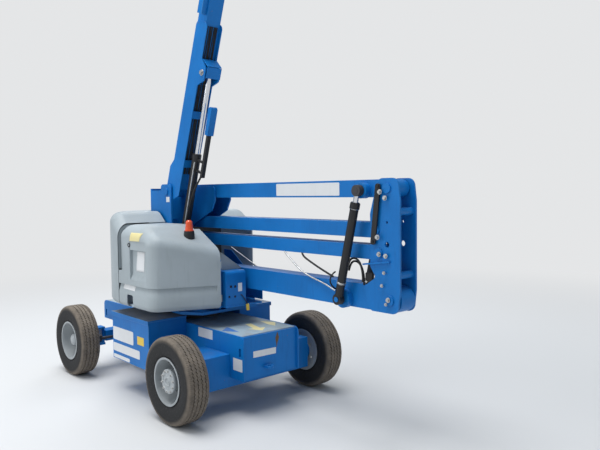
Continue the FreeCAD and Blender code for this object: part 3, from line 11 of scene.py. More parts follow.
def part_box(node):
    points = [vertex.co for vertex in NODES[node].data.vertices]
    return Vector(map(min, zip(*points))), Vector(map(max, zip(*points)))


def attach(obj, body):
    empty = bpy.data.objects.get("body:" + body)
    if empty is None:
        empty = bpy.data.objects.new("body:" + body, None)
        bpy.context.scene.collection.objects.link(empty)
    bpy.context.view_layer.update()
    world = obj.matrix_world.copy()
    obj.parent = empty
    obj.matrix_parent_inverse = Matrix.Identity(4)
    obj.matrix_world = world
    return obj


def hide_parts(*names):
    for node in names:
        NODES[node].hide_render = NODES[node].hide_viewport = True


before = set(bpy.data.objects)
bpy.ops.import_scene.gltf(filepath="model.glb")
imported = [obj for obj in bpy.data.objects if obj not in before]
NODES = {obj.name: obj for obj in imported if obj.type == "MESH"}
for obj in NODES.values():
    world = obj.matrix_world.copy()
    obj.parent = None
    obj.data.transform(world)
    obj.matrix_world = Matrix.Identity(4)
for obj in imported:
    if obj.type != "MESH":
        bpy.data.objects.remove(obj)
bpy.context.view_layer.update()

# Camera, as fitted to the four tyres in the photo
CAMERA_PLACE = Vector((4.765, -3.375, 1.898))
CAMERA_YAW = 47.75
CAMERA_DOWN = 3.01
CAMERA_ROLL = -0.6
CAMERA_LENS = 37.13

# Colours, linear
BLUE = (0.004, 0.175, 0.540)
BLUE_DARK = (0.003, 0.090, 0.300)
BLUE_WORN = (0.060, 0.260, 0.560)
COVER_GREY = (0.375, 0.425, 0.450)
COVER_DARK = (0.250, 0.285, 0.300)
DECK_GREY = (0.330, 0.430, 0.480)
RUBBER = (0.013, 0.013, 0.014)
RUBBER_DUST = (0.200, 0.165, 0.130)
RIM_GREY = (0.360, 0.385, 0.400)
BLACK = (0.010, 0.010, 0.012)
STEEL = (0.560, 0.560, 0.550)
DARK_STEEL = (0.060, 0.060, 0.065)
WHITE = (0.760, 0.770, 0.780)
YELLOW = (0.800, 0.560, 0.080)
PALE_YELLOW = (0.760, 0.700, 0.430)
ORANGE = (0.780, 0.090, 0.020)
RUST = (0.190, 0.070, 0.030)
DUST = (0.300, 0.290, 0.270)
FLOOR = (0.600, 0.605, 0.610)
BACKGROUND = (0.780, 0.790, 0.800)
# How far from the machine the floor starts to fade, and where it has faded
FLOOR_FADE = (3.5, 11.0)

# The two colour sockets of a mix node
MIX_FIRST = 6
MIX_SECOND = 7


# Materials

def toned(colour, share):
    """A colour made darker or lighter by a share."""
    return tuple(part * share for part in colour)


def new_material(name):
    """A material, its node tree and its shader."""
    mat = bpy.data.materials.new(name)
    mat.use_nodes = True
    tree = mat.node_tree
    tree.nodes.clear()
    out = tree.nodes.new("ShaderNodeOutputMaterial")
    shader = tree.nodes.new("ShaderNodeBsdfPrincipled")
    tree.links.new(shader.outputs["BSDF"], out.inputs["Surface"])
    return mat, tree, shader


def add_node(tree, kind, inputs=None, **settings):
    """A shader node with its settings, its inputs given as numbers or as sockets."""
    item = tree.nodes.new(kind)
    for key, setting in settings.items():
        setattr(item, key, setting)
    for key, source in (inputs or {}).items():
        if isinstance(source, bpy.types.NodeSocket):
            tree.links.new(source, item.inputs[key])
        else:
            item.inputs[key].default_value = source
    return item


def noise(tree, place, scale, detail=4.0, rough=0.55, stretch=None):
    """A noise pattern in the object's own metres, from 0 to 1."""
    if stretch:
        place = add_node(tree, "ShaderNodeMapping", {"Vector": place, "Scale": stretch}).outputs[0]
    item = add_node(
        tree, "ShaderNodeTexNoise", {"Vector": place, "Scale": scale, "Detail": detail, "Roughness": rough}
    )
    return item.outputs["Fac"]


def ramp(tree, source, low, high, flip=False):
    """A smooth step of a pattern between two values."""
    item = add_node(
        tree,
        "ShaderNodeMapRange",
        {"Value": source, "From Min": low, "From Max": high},
        interpolation_type="SMOOTHSTEP",
        clamp=True,
    )
    if flip:
        item.inputs["To Min"].default_value = 1.0
        item.inputs["To Max"].default_value = 0.0
    return item.outputs["Result"]


def times(tree, a, b):
    """Two values multiplied, each a number or a socket."""
    item = tree.nodes.new("ShaderNodeMath")
    item.operation = "MULTIPLY"
    for index, source in enumerate((a, b)):
        if isinstance(source, bpy.types.NodeSocket):
            tree.links.new(source, item.inputs[index])
        else:
            item.inputs[index].default_value = source
    return item.outputs[0]


def blended(tree, share, first, second):
    """Two colours mixed by a share from 0 to 1."""
    item = tree.nodes.new("ShaderNodeMix")
    item.data_type = "RGBA"
    tree.links.new(share, item.inputs["Factor"])
    for index, source in ((MIX_FIRST, first), (MIX_SECOND, second)):
        if isinstance(source, bpy.types.NodeSocket):
            tree.links.new(source, item.inputs[index])
        else:
            item.inputs[index].default_value = (*source, 1.0)
    return item.outputs[2]


def bump(tree, shader, height, strength, distance):
    """Makes a pattern stand out of the surface by a distance."""
    item = add_node(tree, "ShaderNodeBump", {"Height": height, "Strength": strength, "Distance": distance})
    tree.links.new(item.outputs["Normal"], shader.inputs["Normal"])


def coat_of_paint(
    name, colour, dark, rough, dust=0.35, chips=0.0, grain=0.0006, streaks=0.25, metallic=0.0, shine=0.4
):
    """Sprayed paint or moulded plastic: cloudy colour, rain streaks, dust on top, chips to rust."""
    mat, tree, shader = new_material(name)
    place = add_node(tree, "ShaderNodeTexCoord").outputs["Object"]
    clouds = ramp(tree, noise(tree, place, 2.2, 5.0), 0.35, 0.70)
    colour_out = blended(tree, times(tree, clouds, 0.35), colour, dark)
    runs = ramp(tree, noise(tree, place, 6.0, 6.0, 0.6, (7.0, 7.0, 0.7)), 0.52, 0.74)
    colour_out = blended(tree, times(tree, runs, streaks), colour_out, dark)
    # Dust lies on what faces up
    normal = add_node(tree, "ShaderNodeNewGeometry").outputs["Normal"]
    facing = add_node(tree, "ShaderNodeSeparateXYZ", {"Vector": normal})
    lies = ramp(tree, facing.outputs["Z"], 0.55, 1.0)
    patches = ramp(tree, noise(tree, place, 9.0, 7.0, 0.65), 0.38, 0.66)
    colour_out = blended(tree, times(tree, times(tree, lies, patches), dust), colour_out, DUST)
    if chips:
        spots = ramp(tree, noise(tree, place, 34.0, 5.0, 0.7), 0.715 - chips, 0.735 - chips)
        colour_out = blended(tree, spots, colour_out, RUST)
    tree.links.new(colour_out, shader.inputs["Base Color"])
    gloss = add_node(
        tree,
        "ShaderNodeMapRange",
        {"Value": noise(tree, place, 14.0, 5.0, 0.6), "To Min": rough - 0.07, "To Max": rough + 0.12},
    )
    tree.links.new(gloss.outputs["Result"], shader.inputs["Roughness"])
    shader.inputs["Metallic"].default_value = metallic
    shader.inputs["Specular IOR Level"].default_value = shine
    bump(tree, shader, noise(tree, place, 260.0, 2.0), 0.35, grain)
    return mat


def bare_metal(name, colour, rough, grime=0.3):
    """Machined or plated steel with faint grease."""
    mat, tree, shader = new_material(name)
    place = add_node(tree, "ShaderNodeTexCoord").outputs["Object"]
    stains = ramp(tree, noise(tree, place, 30.0, 6.0, 0.65), 0.45, 0.75)
    tree.links.new(
        blended(tree, times(tree, stains, grime), colour, toned(colour, 0.3)),
        shader.inputs["Base Color"],
    )
    gloss = add_node(
        tree,
        "ShaderNodeMapRange",
        {"Value": noise(tree, place, 55.0, 4.0), "To Min": rough, "To Max": rough + 0.18},
    )
    tree.links.new(gloss.outputs["Result"], shader.inputs["Roughness"])
    shader.inputs["Metallic"].default_value = 1.0
    bump(tree, shader, noise(tree, place, 300.0, 2.0), 0.2, 0.0004)
    return mat


def tyre_rubber(name, radius, wall):
    """Rubber that is black on its walls and brown with dust where it rolls."""
    mat, tree, shader = new_material(name)
    place = add_node(tree, "ShaderNodeTexCoord").outputs["Object"]
    part = add_node(tree, "ShaderNodeSeparateXYZ", {"Vector": place})
    flat = add_node(tree, "ShaderNodeCombineXYZ", {"X": part.outputs["X"], "Z": part.outputs["Z"]})
    reach = add_node(tree, "ShaderNodeVectorMath", {0: flat.outputs[0]}, operation="LENGTH").outputs["Value"]
    rolled = ramp(tree, reach, wall, radius - 0.012)
    mottled = ramp(tree, noise(tree, place, 16.0, 6.0, 0.65), 0.25, 0.75)
    share = add_node(
        tree, "ShaderNodeMapRange", {"Value": mottled, "To Min": 0.55, "To Max": 1.0}
    ).outputs["Result"]
    on_tread = blended(tree, times(tree, rolled, share), RUBBER, RUBBER_DUST)
    specks = ramp(tree, noise(tree, place, 60.0, 4.0, 0.7), 0.50, 0.80)
    tree.links.new(blended(tree, times(tree, specks, 0.12), on_tread, DUST), shader.inputs["Base Color"])
    shader.inputs["Roughness"].default_value = 0.82
    bump(tree, shader, noise(tree, place, 220.0, 3.0), 0.35, 0.0012)
    return mat


def lens_plastic(name, colour):
    """A smooth coloured plastic with a faint cloud in it."""
    mat, tree, shader = new_material(name)
    place = add_node(tree, "ShaderNodeTexCoord").outputs["Object"]
    shade = ramp(tree, noise(tree, place, 40.0, 3.0), 0.3, 0.8)
    tree.links.new(
        blended(tree, times(tree, shade, 0.4), colour, toned(colour, 0.6)),
        shader.inputs["Base Color"],
    )
    shader.inputs["Roughness"].default_value = 0.22
    shader.inputs["Coat Weight"].default_value = 0.4
    return mat


PAINT = coat_of_paint("blue_enamel", BLUE, BLUE_DARK, 0.38, dust=0.10, chips=0.02, shine=0.25)
PAINT_EDGE = coat_of_paint("blue_enamel_worn", BLUE_WORN, BLUE, 0.42, dust=0.2, chips=0.05)
COVER = coat_of_paint("cover_moulding", COVER_GREY, COVER_DARK, 0.50, dust=0.15, grain=0.0010)
# The covers' edge strip is a lighter grey than the body: a painted highlight on the rounded edges.
COVER_EDGE_HIGHLIGHT = coat_of_paint("cover_edge_painted_highlight", toned(COVER_GREY, 1.12), COVER_GREY, 0.5, dust=0.1)
DECK = coat_of_paint("deck_plate", DECK_GREY, BLUE_WORN, 0.62, dust=0.6, chips=0.03, grain=0.0030)
RIM = coat_of_paint("rim_paint", RIM_GREY, toned(RIM_GREY, 0.55), 0.45, dust=0.1, chips=0.01)
SATIN_BLACK = coat_of_paint("satin_black", BLACK, (0.03, 0.03, 0.03), 0.38, dust=0.12)
PLASTIC_BLACK = coat_of_paint("black_plastic", (0.016, 0.016, 0.017), BLACK, 0.55, dust=0.15)
CASTING = coat_of_paint("greasy_casting", DARK_STEEL, BLACK, 0.55, dust=0.2, metallic=0.4)
CHROME = bare_metal("chrome_rod", (0.72, 0.73, 0.75), 0.10, 0.15)
ZINC = bare_metal("zinc_steel", STEEL, 0.34, 0.4)
PLATE_WHITE = coat_of_paint("blank_plate", WHITE, toned(WHITE, 0.8), 0.45, dust=0.1)
PLATE_YELLOW = coat_of_paint("yellow_plate", YELLOW, toned(YELLOW, 0.8), 0.45, dust=0.1)
MARK_BLUE = coat_of_paint("blue_mark", (0.020, 0.160, 0.520), DECK_GREY, 0.6, dust=0.4, chips=0.05)
RUST_STAIN = coat_of_paint("rust_stain", (0.150, 0.095, 0.050), RUST, 0.85, dust=0.3)
PLATE_PALE = coat_of_paint("pale_yellow_plate", (0.780, 0.680, 0.330), PALE_YELLOW, 0.45, dust=0.1)
RIM_CLEAN = coat_of_paint("hub_paint", toned(RIM_GREY, 1.1), RIM_GREY, 0.42, dust=0.05)
COVER_SHADE = coat_of_paint("cover_shade", COVER_DARK, COVER_GREY, 0.5, dust=0.15)
LID_TOP = coat_of_paint("dusty_lid", (0.250, 0.260, 0.255), BLUE, 0.75, dust=0.5, chips=0.03, streaks=0.1)
LENS = lens_plastic("beacon_lens", ORANGE)
HOSE_BLACK = coat_of_paint("black_hose", (0.018, 0.018, 0.018), BLACK, 0.6, dust=0.2)


# Building pieces

def finish_piece(item, mat, body, slot, smooth=True):
    """Gives a piece its material, its shading and its body. The slot is not used."""
    item.data.materials.clear()
    item.data.materials.append(mat)
    if smooth:
        for face in item.data.polygons:
            face.use_smooth = True
    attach(item, body)
    return item


def linked(name, data, place=(0, 0, 0)):
    """An object in the scene that shows the data."""
    item = bpy.data.objects.new(name, data)
    bpy.context.scene.collection.objects.link(item)
    item.location = place
    return item


def mesh_piece(name, points, faces, place=(0, 0, 0)):
    """An object made of points and faces."""
    data = bpy.data.meshes.new(name)
    data.from_pydata([tuple(p) for p in points], [], faces)
    data.update()
    return linked(name, data, place)


def from_bmesh(name, made, place=(0, 0, 0)):
    """An object made of a finished bmesh, its faces turned outward."""
    data = bpy.data.meshes.new(name)
    bmesh.ops.recalc_face_normals(made, faces=made.faces)
    made.to_mesh(data)
    made.free()
    return linked(name, data, place)


def outward(item, merge=0.0):
    """Joins points closer than merge and turns the faces outward."""
    made = bmesh.new()
    made.from_mesh(item.data)
    if merge:
        bmesh.ops.remove_doubles(made, verts=made.verts, dist=merge)
    bmesh.ops.recalc_face_normals(made, faces=made.faces)
    made.to_mesh(item.data)
    made.free()
    return item


def prism_faces(count):
    """Two outlines of count points each, closed at both ends and joined by faces."""
    ends = [tuple(range(count)), tuple(reversed(range(count, 2 * count)))]
    return ends + [(i, i + count, (i + 1) % count + count, (i + 1) % count) for i in range(count)]


def ring_faces(turns, count):
    """A turned surface: count points on each of its turns, every turn joined to the next."""
    faces = []
    for i in range(turns):
        j = (i + 1) % turns
        for k in range(count - 1):
            faces.append((i * count + k, i * count + k + 1, j * count + k + 1, j * count + k))
    return faces


def lathe(name, profile, place, segments):
    """A piece turned about Y. The profile's points are a radius and a place along the axis."""
    points = []
    for i in range(segments):
        angle = 2 * math.pi * i / segments
        for radius, along in profile:
            points.append((radius * math.cos(angle), along, radius * math.sin(angle)))
    item = mesh_piece(name, points, ring_faces(segments, len(profile)), place)
    return outward(item, merge=1e-6)


def tube(name, points, radius, mat, body, slot):
    """A round bar or hose along a smooth line through points."""
    data = bpy.data.curves.new(name, "CURVE")
    data.dimensions = "3D"
    data.bevel_depth = radius
    data.bevel_resolution = 5
    data.resolution_u = 12
    data.use_fill_caps = True
    spline = data.splines.new("NURBS")
    spline.points.add(len(points) - 1)
    for point, spot in zip(spline.points, points):
        point.co = (*spot, 1.0)
    spline.order_u = min(4, len(points))
    spline.use_endpoint_u = True
    return finish_piece(linked(name, data), mat, body, slot, smooth=False)


def hexagon_heads(name, spots, size, height, mat, body, slot):
    """Bolt heads with washers, each spot a point and the way it faces, in one mesh."""
    made = bmesh.new()
    for spot, way in spots:
        turn = Vector(way).to_track_quat("Z", "Y").to_matrix().to_4x4()
        move = Matrix.Translation(Vector(spot))
        washer = (20, size * 0.95, height * 0.25)
        head = (6, size * 0.62, height)
        for sides, radius, depth in (washer, head):
            bmesh.ops.create_cone(
                made,
                cap_ends=True,
                segments=sides,
                radius1=radius,
                radius2=radius * 0.94,
                depth=depth,
                matrix=move @ turn @ Matrix.Translation((0, 0, depth / 2)),
            )
    return finish_piece(from_bmesh(name, made), mat, body, slot, smooth=False)


def plate(name, centre, right, up, width, height, mat, body, slot, corner, thick=0.0012, sides=4):
    """A thin blank plate or sticker with round corners, lying on a face."""
    across = Vector(right).normalized()
    over = Vector(up).normalized()
    out = across.cross(over)
    rim = []
    for index, (a, b) in enumerate(((1, 1), (-1, 1), (-1, -1), (1, -1))):
        for step in range(sides + 1):
            angle = math.pi / 2 * (index + step / sides)
            rim.append(
                Vector(centre)
                + across * (a * (width / 2 - corner) + corner * math.cos(angle))
                + over * (b * (height / 2 - corner) + corner * math.sin(angle))
            )
    points = [p + out * thick for p in rim] + rim
    item = mesh_piece(name, points, prism_faces(len(rim)))
    return finish_piece(item, mat, body, slot, smooth=False)


def surface(node):
    """A search tree of a CAD piece's faces, in the machine's frame."""
    item = NODES[node]
    place = item.matrix_world
    points = [place @ v.co for v in item.data.vertices]
    return BVHTree.FromPolygons(points, [tuple(face.vertices) for face in item.data.polygons])


def decal(name, node, corners, way, mat, body, slot, lift=0.0008, cells=10):
    """A sticker pressed onto a CAD piece: four corners, seen along a direction, and cells a side."""
    tree = surface(node)
    toward = Vector(way).normalized()
    a, b, c, d = (Vector(corner) for corner in corners)
    points = []
    for i in range(cells + 1):
        for j in range(cells + 1):
            u, v = i / cells, j / cells
            spot = a.lerp(b, u).lerp(d.lerp(c, u), v)
            hit, normal, _, _ = tree.ray_cast(spot - toward * 0.25, toward, 0.6)
            if hit is None:
                hit, normal = spot, -toward
            if normal.dot(toward) > 0:
                normal = -normal
            points.append(hit + normal * lift)
    row = cells + 1
    faces = [
        (i * row + j, (i + 1) * row + j, (i + 1) * row + j + 1, i * row + j + 1)
        for i in range(cells)
        for j in range(cells)
    ]
    item = mesh_piece(name, points, faces)
    solid = item.modifiers.new("thick", "SOLIDIFY")
    solid.thickness = lift * 0.7
    solid.offset = 0.0
    return finish_piece(item, mat, body, slot)


def dress(node, mat, edge=None, width=0.0025, angle=32, segments=2):
    """A CAD piece's material, with its sharp edges softened and, if an edge material is given, its edges
    worn (blue pieces) or lit by a painted highlight (covers).
    """
    item = NODES[node]
    item.data.materials.clear()
    item.data.materials.append(mat)
    if edge:
        item.data.materials.append(edge)
    if "custom_normal" in item.data.attributes:
        item.data.attributes.remove(item.data.attributes["custom_normal"])
    for face in item.data.polygons:
        face.use_smooth = True
    weld = item.modifiers.new("weld", "WELD")
    weld.merge_threshold = 0.00002
    soft = item.modifiers.new("soft_edges", "BEVEL")
    soft.width = width
    soft.segments = segments
    soft.limit_method = "ANGLE"
    soft.angle_limit = math.radians(angle)
    soft.use_clamp_overlap = True
    soft.harden_normals = True
    if edge:
        soft.material = 1
    return item


def dusty_tops(node):
    """Paint worn and covered with dust on the faces of a piece that face up."""
    item = NODES[node]
    item.data.materials.append(LID_TOP)
    last = len(item.data.materials) - 1
    for face in item.data.polygons:
        if face.normal.z > 0.9:
            face.material_index = last


def centre_of(node):
    """The middle of a CAD piece's box."""
    low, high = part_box(node)
    return (low + high) / 2


# Wheels

TYRE_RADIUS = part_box("tyre_drive_right")[1].z / 2
TYRE_HALF = (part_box("tyre_drive_right")[1].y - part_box("tyre_drive_right")[0].y) / 2
RIM_RADIUS = 0.190
# Zigzags in a groove round the tyre, and the steps that each is drawn with
ZIGZAGS = 72
STEPS = 6
# What a point of the tyre's profile belongs to
WALL, GROOVE, SHOULDER = range(3)


def tyre(axle, side):
    """A road tyre: ribs with zigzag grooves, notched shoulders, rings on its walls."""
    node = f"tyre_{axle}_{side}"
    r = TYRE_RADIUS
    w = TYRE_HALF
    groove_deep = 0.009
    groove_half = 0.0045
    zigzag = 0.0055
    shoulder_deep = 0.004
    grooves = (-0.054, -0.018, 0.018, 0.054)
    wall = [
        (RIM_RADIUS + 0.0005, 0.74 * w),
        (RIM_RADIUS + 0.010, 0.80 * w),
        (RIM_RADIUS + 0.022, 0.86 * w),
        (RIM_RADIUS + 0.026, 0.90 * w),
        (RIM_RADIUS + 0.034, 0.92 * w),
        (RIM_RADIUS + 0.060, 0.975 * w),
        (RIM_RADIUS + 0.090, 0.995 * w),
        (r - 0.062, 0.995 * w),
        (r - 0.058, 0.999 * w),
        (r - 0.050, 0.999 * w),
        (r - 0.047, 0.985 * w),
        (r - 0.036, 0.965 * w),
        (r - 0.033, 0.972 * w),
        (r - 0.026, 0.960 * w),
        (r - 0.016, 0.920 * w),
        (r - 0.009, 0.870 * w),
    ]
    tread = []
    for g in grooves:
        crown = 0.004 * (abs(g) / w) ** 2
        tread.append((r - crown, g - groove_half, GROOVE))
        tread.append((r - crown - groove_deep, g - groove_half * 0.7, GROOVE))
        tread.append((r - crown - groove_deep, g + groove_half * 0.7, GROOVE))
        tread.append((r - crown, g + groove_half, GROOVE))
    shoulder = 0.78 * w
    profile = [(a, -b, WALL) for a, b in wall]
    profile += [(r - 0.0045, -shoulder, SHOULDER), (r - 0.003, -0.70 * w, SHOULDER)]
    profile += tread
    profile += [(r - 0.003, 0.70 * w, SHOULDER), (r - 0.0045, shoulder, SHOULDER)]
    profile += [(a, b, WALL) for a, b in reversed(wall)]
    total = ZIGZAGS * STEPS
    points = []
    for i in range(total):
        angle = 2 * math.pi * i / total
        phase = (i % STEPS) / STEPS
        swing = 4 * abs(phase - 0.5) - 1
        notch = shoulder_deep if i % STEPS in (0, STEPS // 2) else 0.0
        for radius, along, kind in profile:
            if kind == GROOVE:
                along += zigzag * swing
            if kind == SHOULDER:
                radius -= notch
            points.append((radius * math.cos(angle), along, radius * math.sin(angle)))
    faces = ring_faces(total, len(profile))
    item = outward(mesh_piece(f"tread_{axle}_{side}", points, faces, centre_of(node)))
    finish_piece(item, TYRE, f"wheel_{axle}_{side}", "tyre_rubber")
    item.data.set_sharp_from_angle(angle=math.radians(35))
    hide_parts(node)


TYRE = tyre_rubber("tyre_rubber", TYRE_RADIUS, TYRE_RADIUS - 0.055)


def wheels():
    """Four tyres in place of the plain rings, and the paint of the rims."""
    for axle in ("drive", "steer"):
        for side in ("left", "right"):
            tyre(axle, side)
            dress(f"rim_{axle}_{side}", RIM, width=0.002, angle=40)


# CAD pieces that keep their shape

def cad_pieces():
    """The finish of each piece whose form stays as it is."""
    blue = (
        "chassis_frame",
        "battery_boxes",
        "battery_lids",
        "drive_axle",
        "steer_axle",
        "turntable_frame",
        "valve_box",
        "lower_arm",
        "lower_link",
        "upper_arm",
        "upper_link",
        "mid_pivot",
        "upper_pivot",
        "boom",
        "boom_extension",
        "cable_track_tray",
        "platform_bracket",
        "platform_mount",
        "platform_rails",
        "platform_gate",
    )
    for node in blue:
        dress(node, PAINT, PAINT_EDGE, width=0.003)
    # The covers' softened edges take the lighter edge material, a painted highlight.
    for node in ("cover_rear", "cover_right"):
        dress(node, COVER, COVER_EDGE_HIGHLIGHT, width=0.006, segments=3)
    for node in ("chassis_deck", "platform_floor"):
        dress(node, DECK, width=0.001)
    for node in ("slew_ring", "tie_rod", "steer_knuckle_left", "steer_knuckle_right", "counterweight"):
        dress(node, CASTING, width=0.002)
    for node in ("riser_barrels", "lift_barrel", "mid_link"):
        dress(node, SATIN_BLACK, width=0.001)
    for node in ("riser_rods", "lift_rod"):
        dress(node, CHROME, width=0.001)
    dusty_tops("battery_lids")
    dress("platform_console", PLASTIC_BLACK, width=0.004)
    dress("beacon", LENS, width=0.001)


# Places in millimetres from the middle of the wheelbase, as the CAD source measures them

BOOM_ANGLE = math.radians(70.25)
BOOM_PIN = (59, -160, 1923)
LIFT_FOOT = (203, -160, 1481)
LIFT_ANGLE = math.atan2(1499, 487)
RISER_FOOT = (2150, 0, 1082)
RISER_HEAD = (2353, 0, 1907)
END_PLATE = 1313
WHEELBASE_MIDDLE = (centre_of("tyre_drive_right").x + centre_of("tyre_steer_right").x) / 2

# The body that a piece rides on, and the name of a slot
CHASSIS = ("root", "blue_paint")
DECK_TOP = ("root", "deck_grey")
TURNTABLE = ("turntable", "blue_paint")
SIDE_COVER = ("side_cover", "cover_plastic")
LOWER_ARM = ("lower_arm", "blue_paint")
MID_PIVOT = ("mid_pivot", "blue_paint")
BOOM = ("boom", "blue_paint")
LIFT_BARREL = ("lift_barrel", "cylinder_black")


def at(x, y, z):
    """A place in the machine's own metres, from millimetres."""
    return Vector((WHEELBASE_MIDDLE + x / 1000, y / 1000, z / 1000))


def places(*spots):
    """Several places, each from millimetres."""
    return [at(*spot) for spot in spots]


def front_of(node):
    """The front face of a CAD piece, in the same millimetres."""
    return (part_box(node)[1].x - WHEELBASE_MIDDLE) * 1000


def face_plate(name, spot, size, facing, mat, body, slot, corner=0.004, tilt=0.0):
    """A blank plate on a flat face: its middle and size in millimetres and the way it faces."""
    right = Vector((1, 0, 0)) if facing == "right" else Vector((0, 1, 0))
    up = Vector((0, 0, 1))
    out = right.cross(up)
    turn = Quaternion(out, math.radians(tilt))
    middle = at(*spot) + out * 0.0003
    wide, tall = (length / 1000 for length in size)
    return plate(name, middle, turn @ right, turn @ up, wide, tall, mat, body, slot, corner)


def mark(name, corners, out, mat, body, slot):
    """A painted mark or a stain on a flat face, a hair above it: its corners and the way the face looks."""
    points = [corner + out * height for height in (0.0006, 0.0001) for corner in corners]
    item = mesh_piece(name, points, prism_faces(len(corners)))
    return finish_piece(item, mat, body, slot, smooth=False)


def plates():
    """The blank plates, stickers and painted marks that the photo shows."""
    box_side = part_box("battery_boxes")[0].y * 1000
    frame_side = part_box("chassis_frame")[0].y * 1000
    large, small = 0.014, 0.004
    for name, spot, size, mat, corner in (
        ("battery_plate_upper", (-41, box_side, 554), (410, 126), PLATE_WHITE, large),
        ("battery_plate_middle", (17, box_side, 419), (530, 80), PLATE_WHITE, large),
        ("battery_plate_lower", (-80, box_side, 331), (330, 34), PLATE_WHITE, large),
        ("battery_plate_yellow", (304, box_side, 556), (124, 76), PLATE_YELLOW, small),
        ("frame_plate_upper", (771, frame_side, 643), (226, 84), PLATE_WHITE, small),
        ("frame_plate_lower", (1252, frame_side, 450), (128, 104), PLATE_WHITE, small),
    ):
        face_plate(name, spot, size, "right", mat, *CHASSIS, corner=corner)
    face_plate("end_plate", (END_PLATE, -66, 525), (250, 54), "end", PLATE_WHITE, *CHASSIS, tilt=-1)
    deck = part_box("chassis_deck")[1].z * 1000
    arrow = [(912, 29), (1108, -24), (1092, -76), (1228, -20), (1143, 82), (1124, 34), (929, 84)]
    for name, mat, corners in (
        ("deck_triangle", MARK_BLUE, [(892, -159), (994, -285), (1131, -202)]),
        ("deck_arrow_long", PLATE_PALE, arrow),
        ("deck_arrow_short", PLATE_PALE, [(907, 211), (1071, 175), (1156, 186), (1040, 285)]),
    ):
        mark(name, [at(x, y, deck) for x, y in corners], Vector((0, 0, 1)), mat, *DECK_TOP)
    stain = [(97, 632), (78, 584), (68, 540), (64, 580), (54, 630), (78, 684)]
    mark("end_rust", [at(END_PLATE, y, z) for y, z in stain], Vector((1, 0, 0)), RUST_STAIN, *CHASSIS)
    arm_side = 75
    pivot_side = -264
    for name, spot, size, body, corner in (
        ("arm_plate", (1707, arm_side, 1921), (756, 102), "upper_arm", 0.010),
        ("pivot_plate", (88, pivot_side, 1843), (62, 50), "upper_pivot", small),
    ):
        face_plate(name, spot, size, "right", PLATE_WHITE, body, "blue_paint", corner=corner)
    before_cover = -800
    for name, mat, corners in (
        ("cover_sticker", PLATE_PALE, [(322, 1555), (519, 1556), (485, 1482), (307, 1480)]),
        ("window_sticker", PLATE_WHITE, [(402, 1392), (536, 1390), (517, 1214), (373, 1212)]),
        ("band_sticker", PLATE_WHITE, [(156, 1081), (376, 1075), (370, 1032), (152, 1036)]),
    ):
        spots = [at(x, before_cover, z) for x, z in corners]
        decal(name, "cover_right", spots, (0, 1, 0), mat, *SIDE_COVER)
    label = (front_of("valve_box"), -27, 1046)
    face_plate("valve_box_label", label, (44, 76), "end", PLATE_WHITE, *TURNTABLE)


HUBS = {
    # Radius and place along the axle, outward from the middle of the wheel
    "drive": (
        (0.0, 0.084), (0.010, 0.084), (0.013, 0.079), (0.027, 0.078), (0.030, 0.085), (0.036, 0.085),
        (0.040, 0.078), (0.068, 0.076), (0.072, 0.080), (0.097, 0.080), (0.101, 0.076), (0.101, 0.062),
        (0.094, 0.052), (0.089, 0.0), (0.093, -0.061),
    ),
    "steer": (
        (0.0, 0.067), (0.028, 0.065), (0.046, 0.058), (0.057, 0.046), (0.062, 0.028), (0.063, -0.006),
        (0.070, -0.019), (0.106, -0.023), (0.111, -0.029), (0.111, -0.061),
    ),
}
# How many nuts, on what radius, at what place along the axle
NUTS = {"drive": (10, 0.085, 0.080), "steer": (9, 0.088, -0.021)}


STEM_ANGLE = math.radians(128)
STEM_PLACE = Vector((0.150 * math.cos(STEM_ANGLE), -0.035, 0.150 * math.sin(STEM_ANGLE)))
STEM_STEP = Vector((-0.004, 0.022, 0.005))


def wheel_hubs():
    """Hub drums with their nuts, and the valve stems."""
    for axle, profile in HUBS.items():
        count, ring, out = NUTS[axle]
        for side, way in (("left", 1), ("right", -1)):
            middle = centre_of(f"tyre_{axle}_{side}")
            body = f"wheel_{axle}_{side}"
            hub = lathe(f"hub_{axle}_{side}", [(r, way * along) for r, along in profile], middle, 72)
            finish_piece(hub, RIM_CLEAN, body, "rim_paint")
            hub.data.set_sharp_from_angle(angle=math.radians(32))
            spots = []
            for i in range(count):
                angle = 2 * math.pi * (i + 0.3) / count
                offset = Vector((ring * math.cos(angle), way * out, ring * math.sin(angle)))
                spots.append((middle + offset, (0, way, 0)))
            hexagon_heads(f"nuts_{axle}_{side}", spots, 0.012, 0.012, ZINC, body, "rim_paint")
            mirror = Matrix.Diagonal((1, way, 1))
            run = [middle + mirror @ (STEM_PLACE + STEM_STEP * i) for i in range(3)]
            tube(f"valve_{axle}_{side}", run, 0.005, PLASTIC_BLACK, body, "rim_paint")


def rod_eyes():
    """The riser rods' eyes are bare castings, the rods themselves chromed."""
    item = NODES["riser_rods"]
    item.data.materials.append(CASTING)
    head = at(*RISER_HEAD)
    eye_reach = 0.050
    for face in item.data.polygons:
        offset = item.matrix_world @ face.center - head
        if math.hypot(offset.x, offset.z) < eye_reach:
            face.material_index = 1


def beacon_look():
    """The lens above, its base below the step black."""
    item = NODES["beacon"]
    item.data.materials.append(PLASTIC_BLACK)
    lens_high = 0.096
    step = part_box("beacon")[1].z - lens_high
    for face in item.data.polygons:
        below = (item.matrix_world @ face.center).z < step
        face.material_index = 1 if below else 0


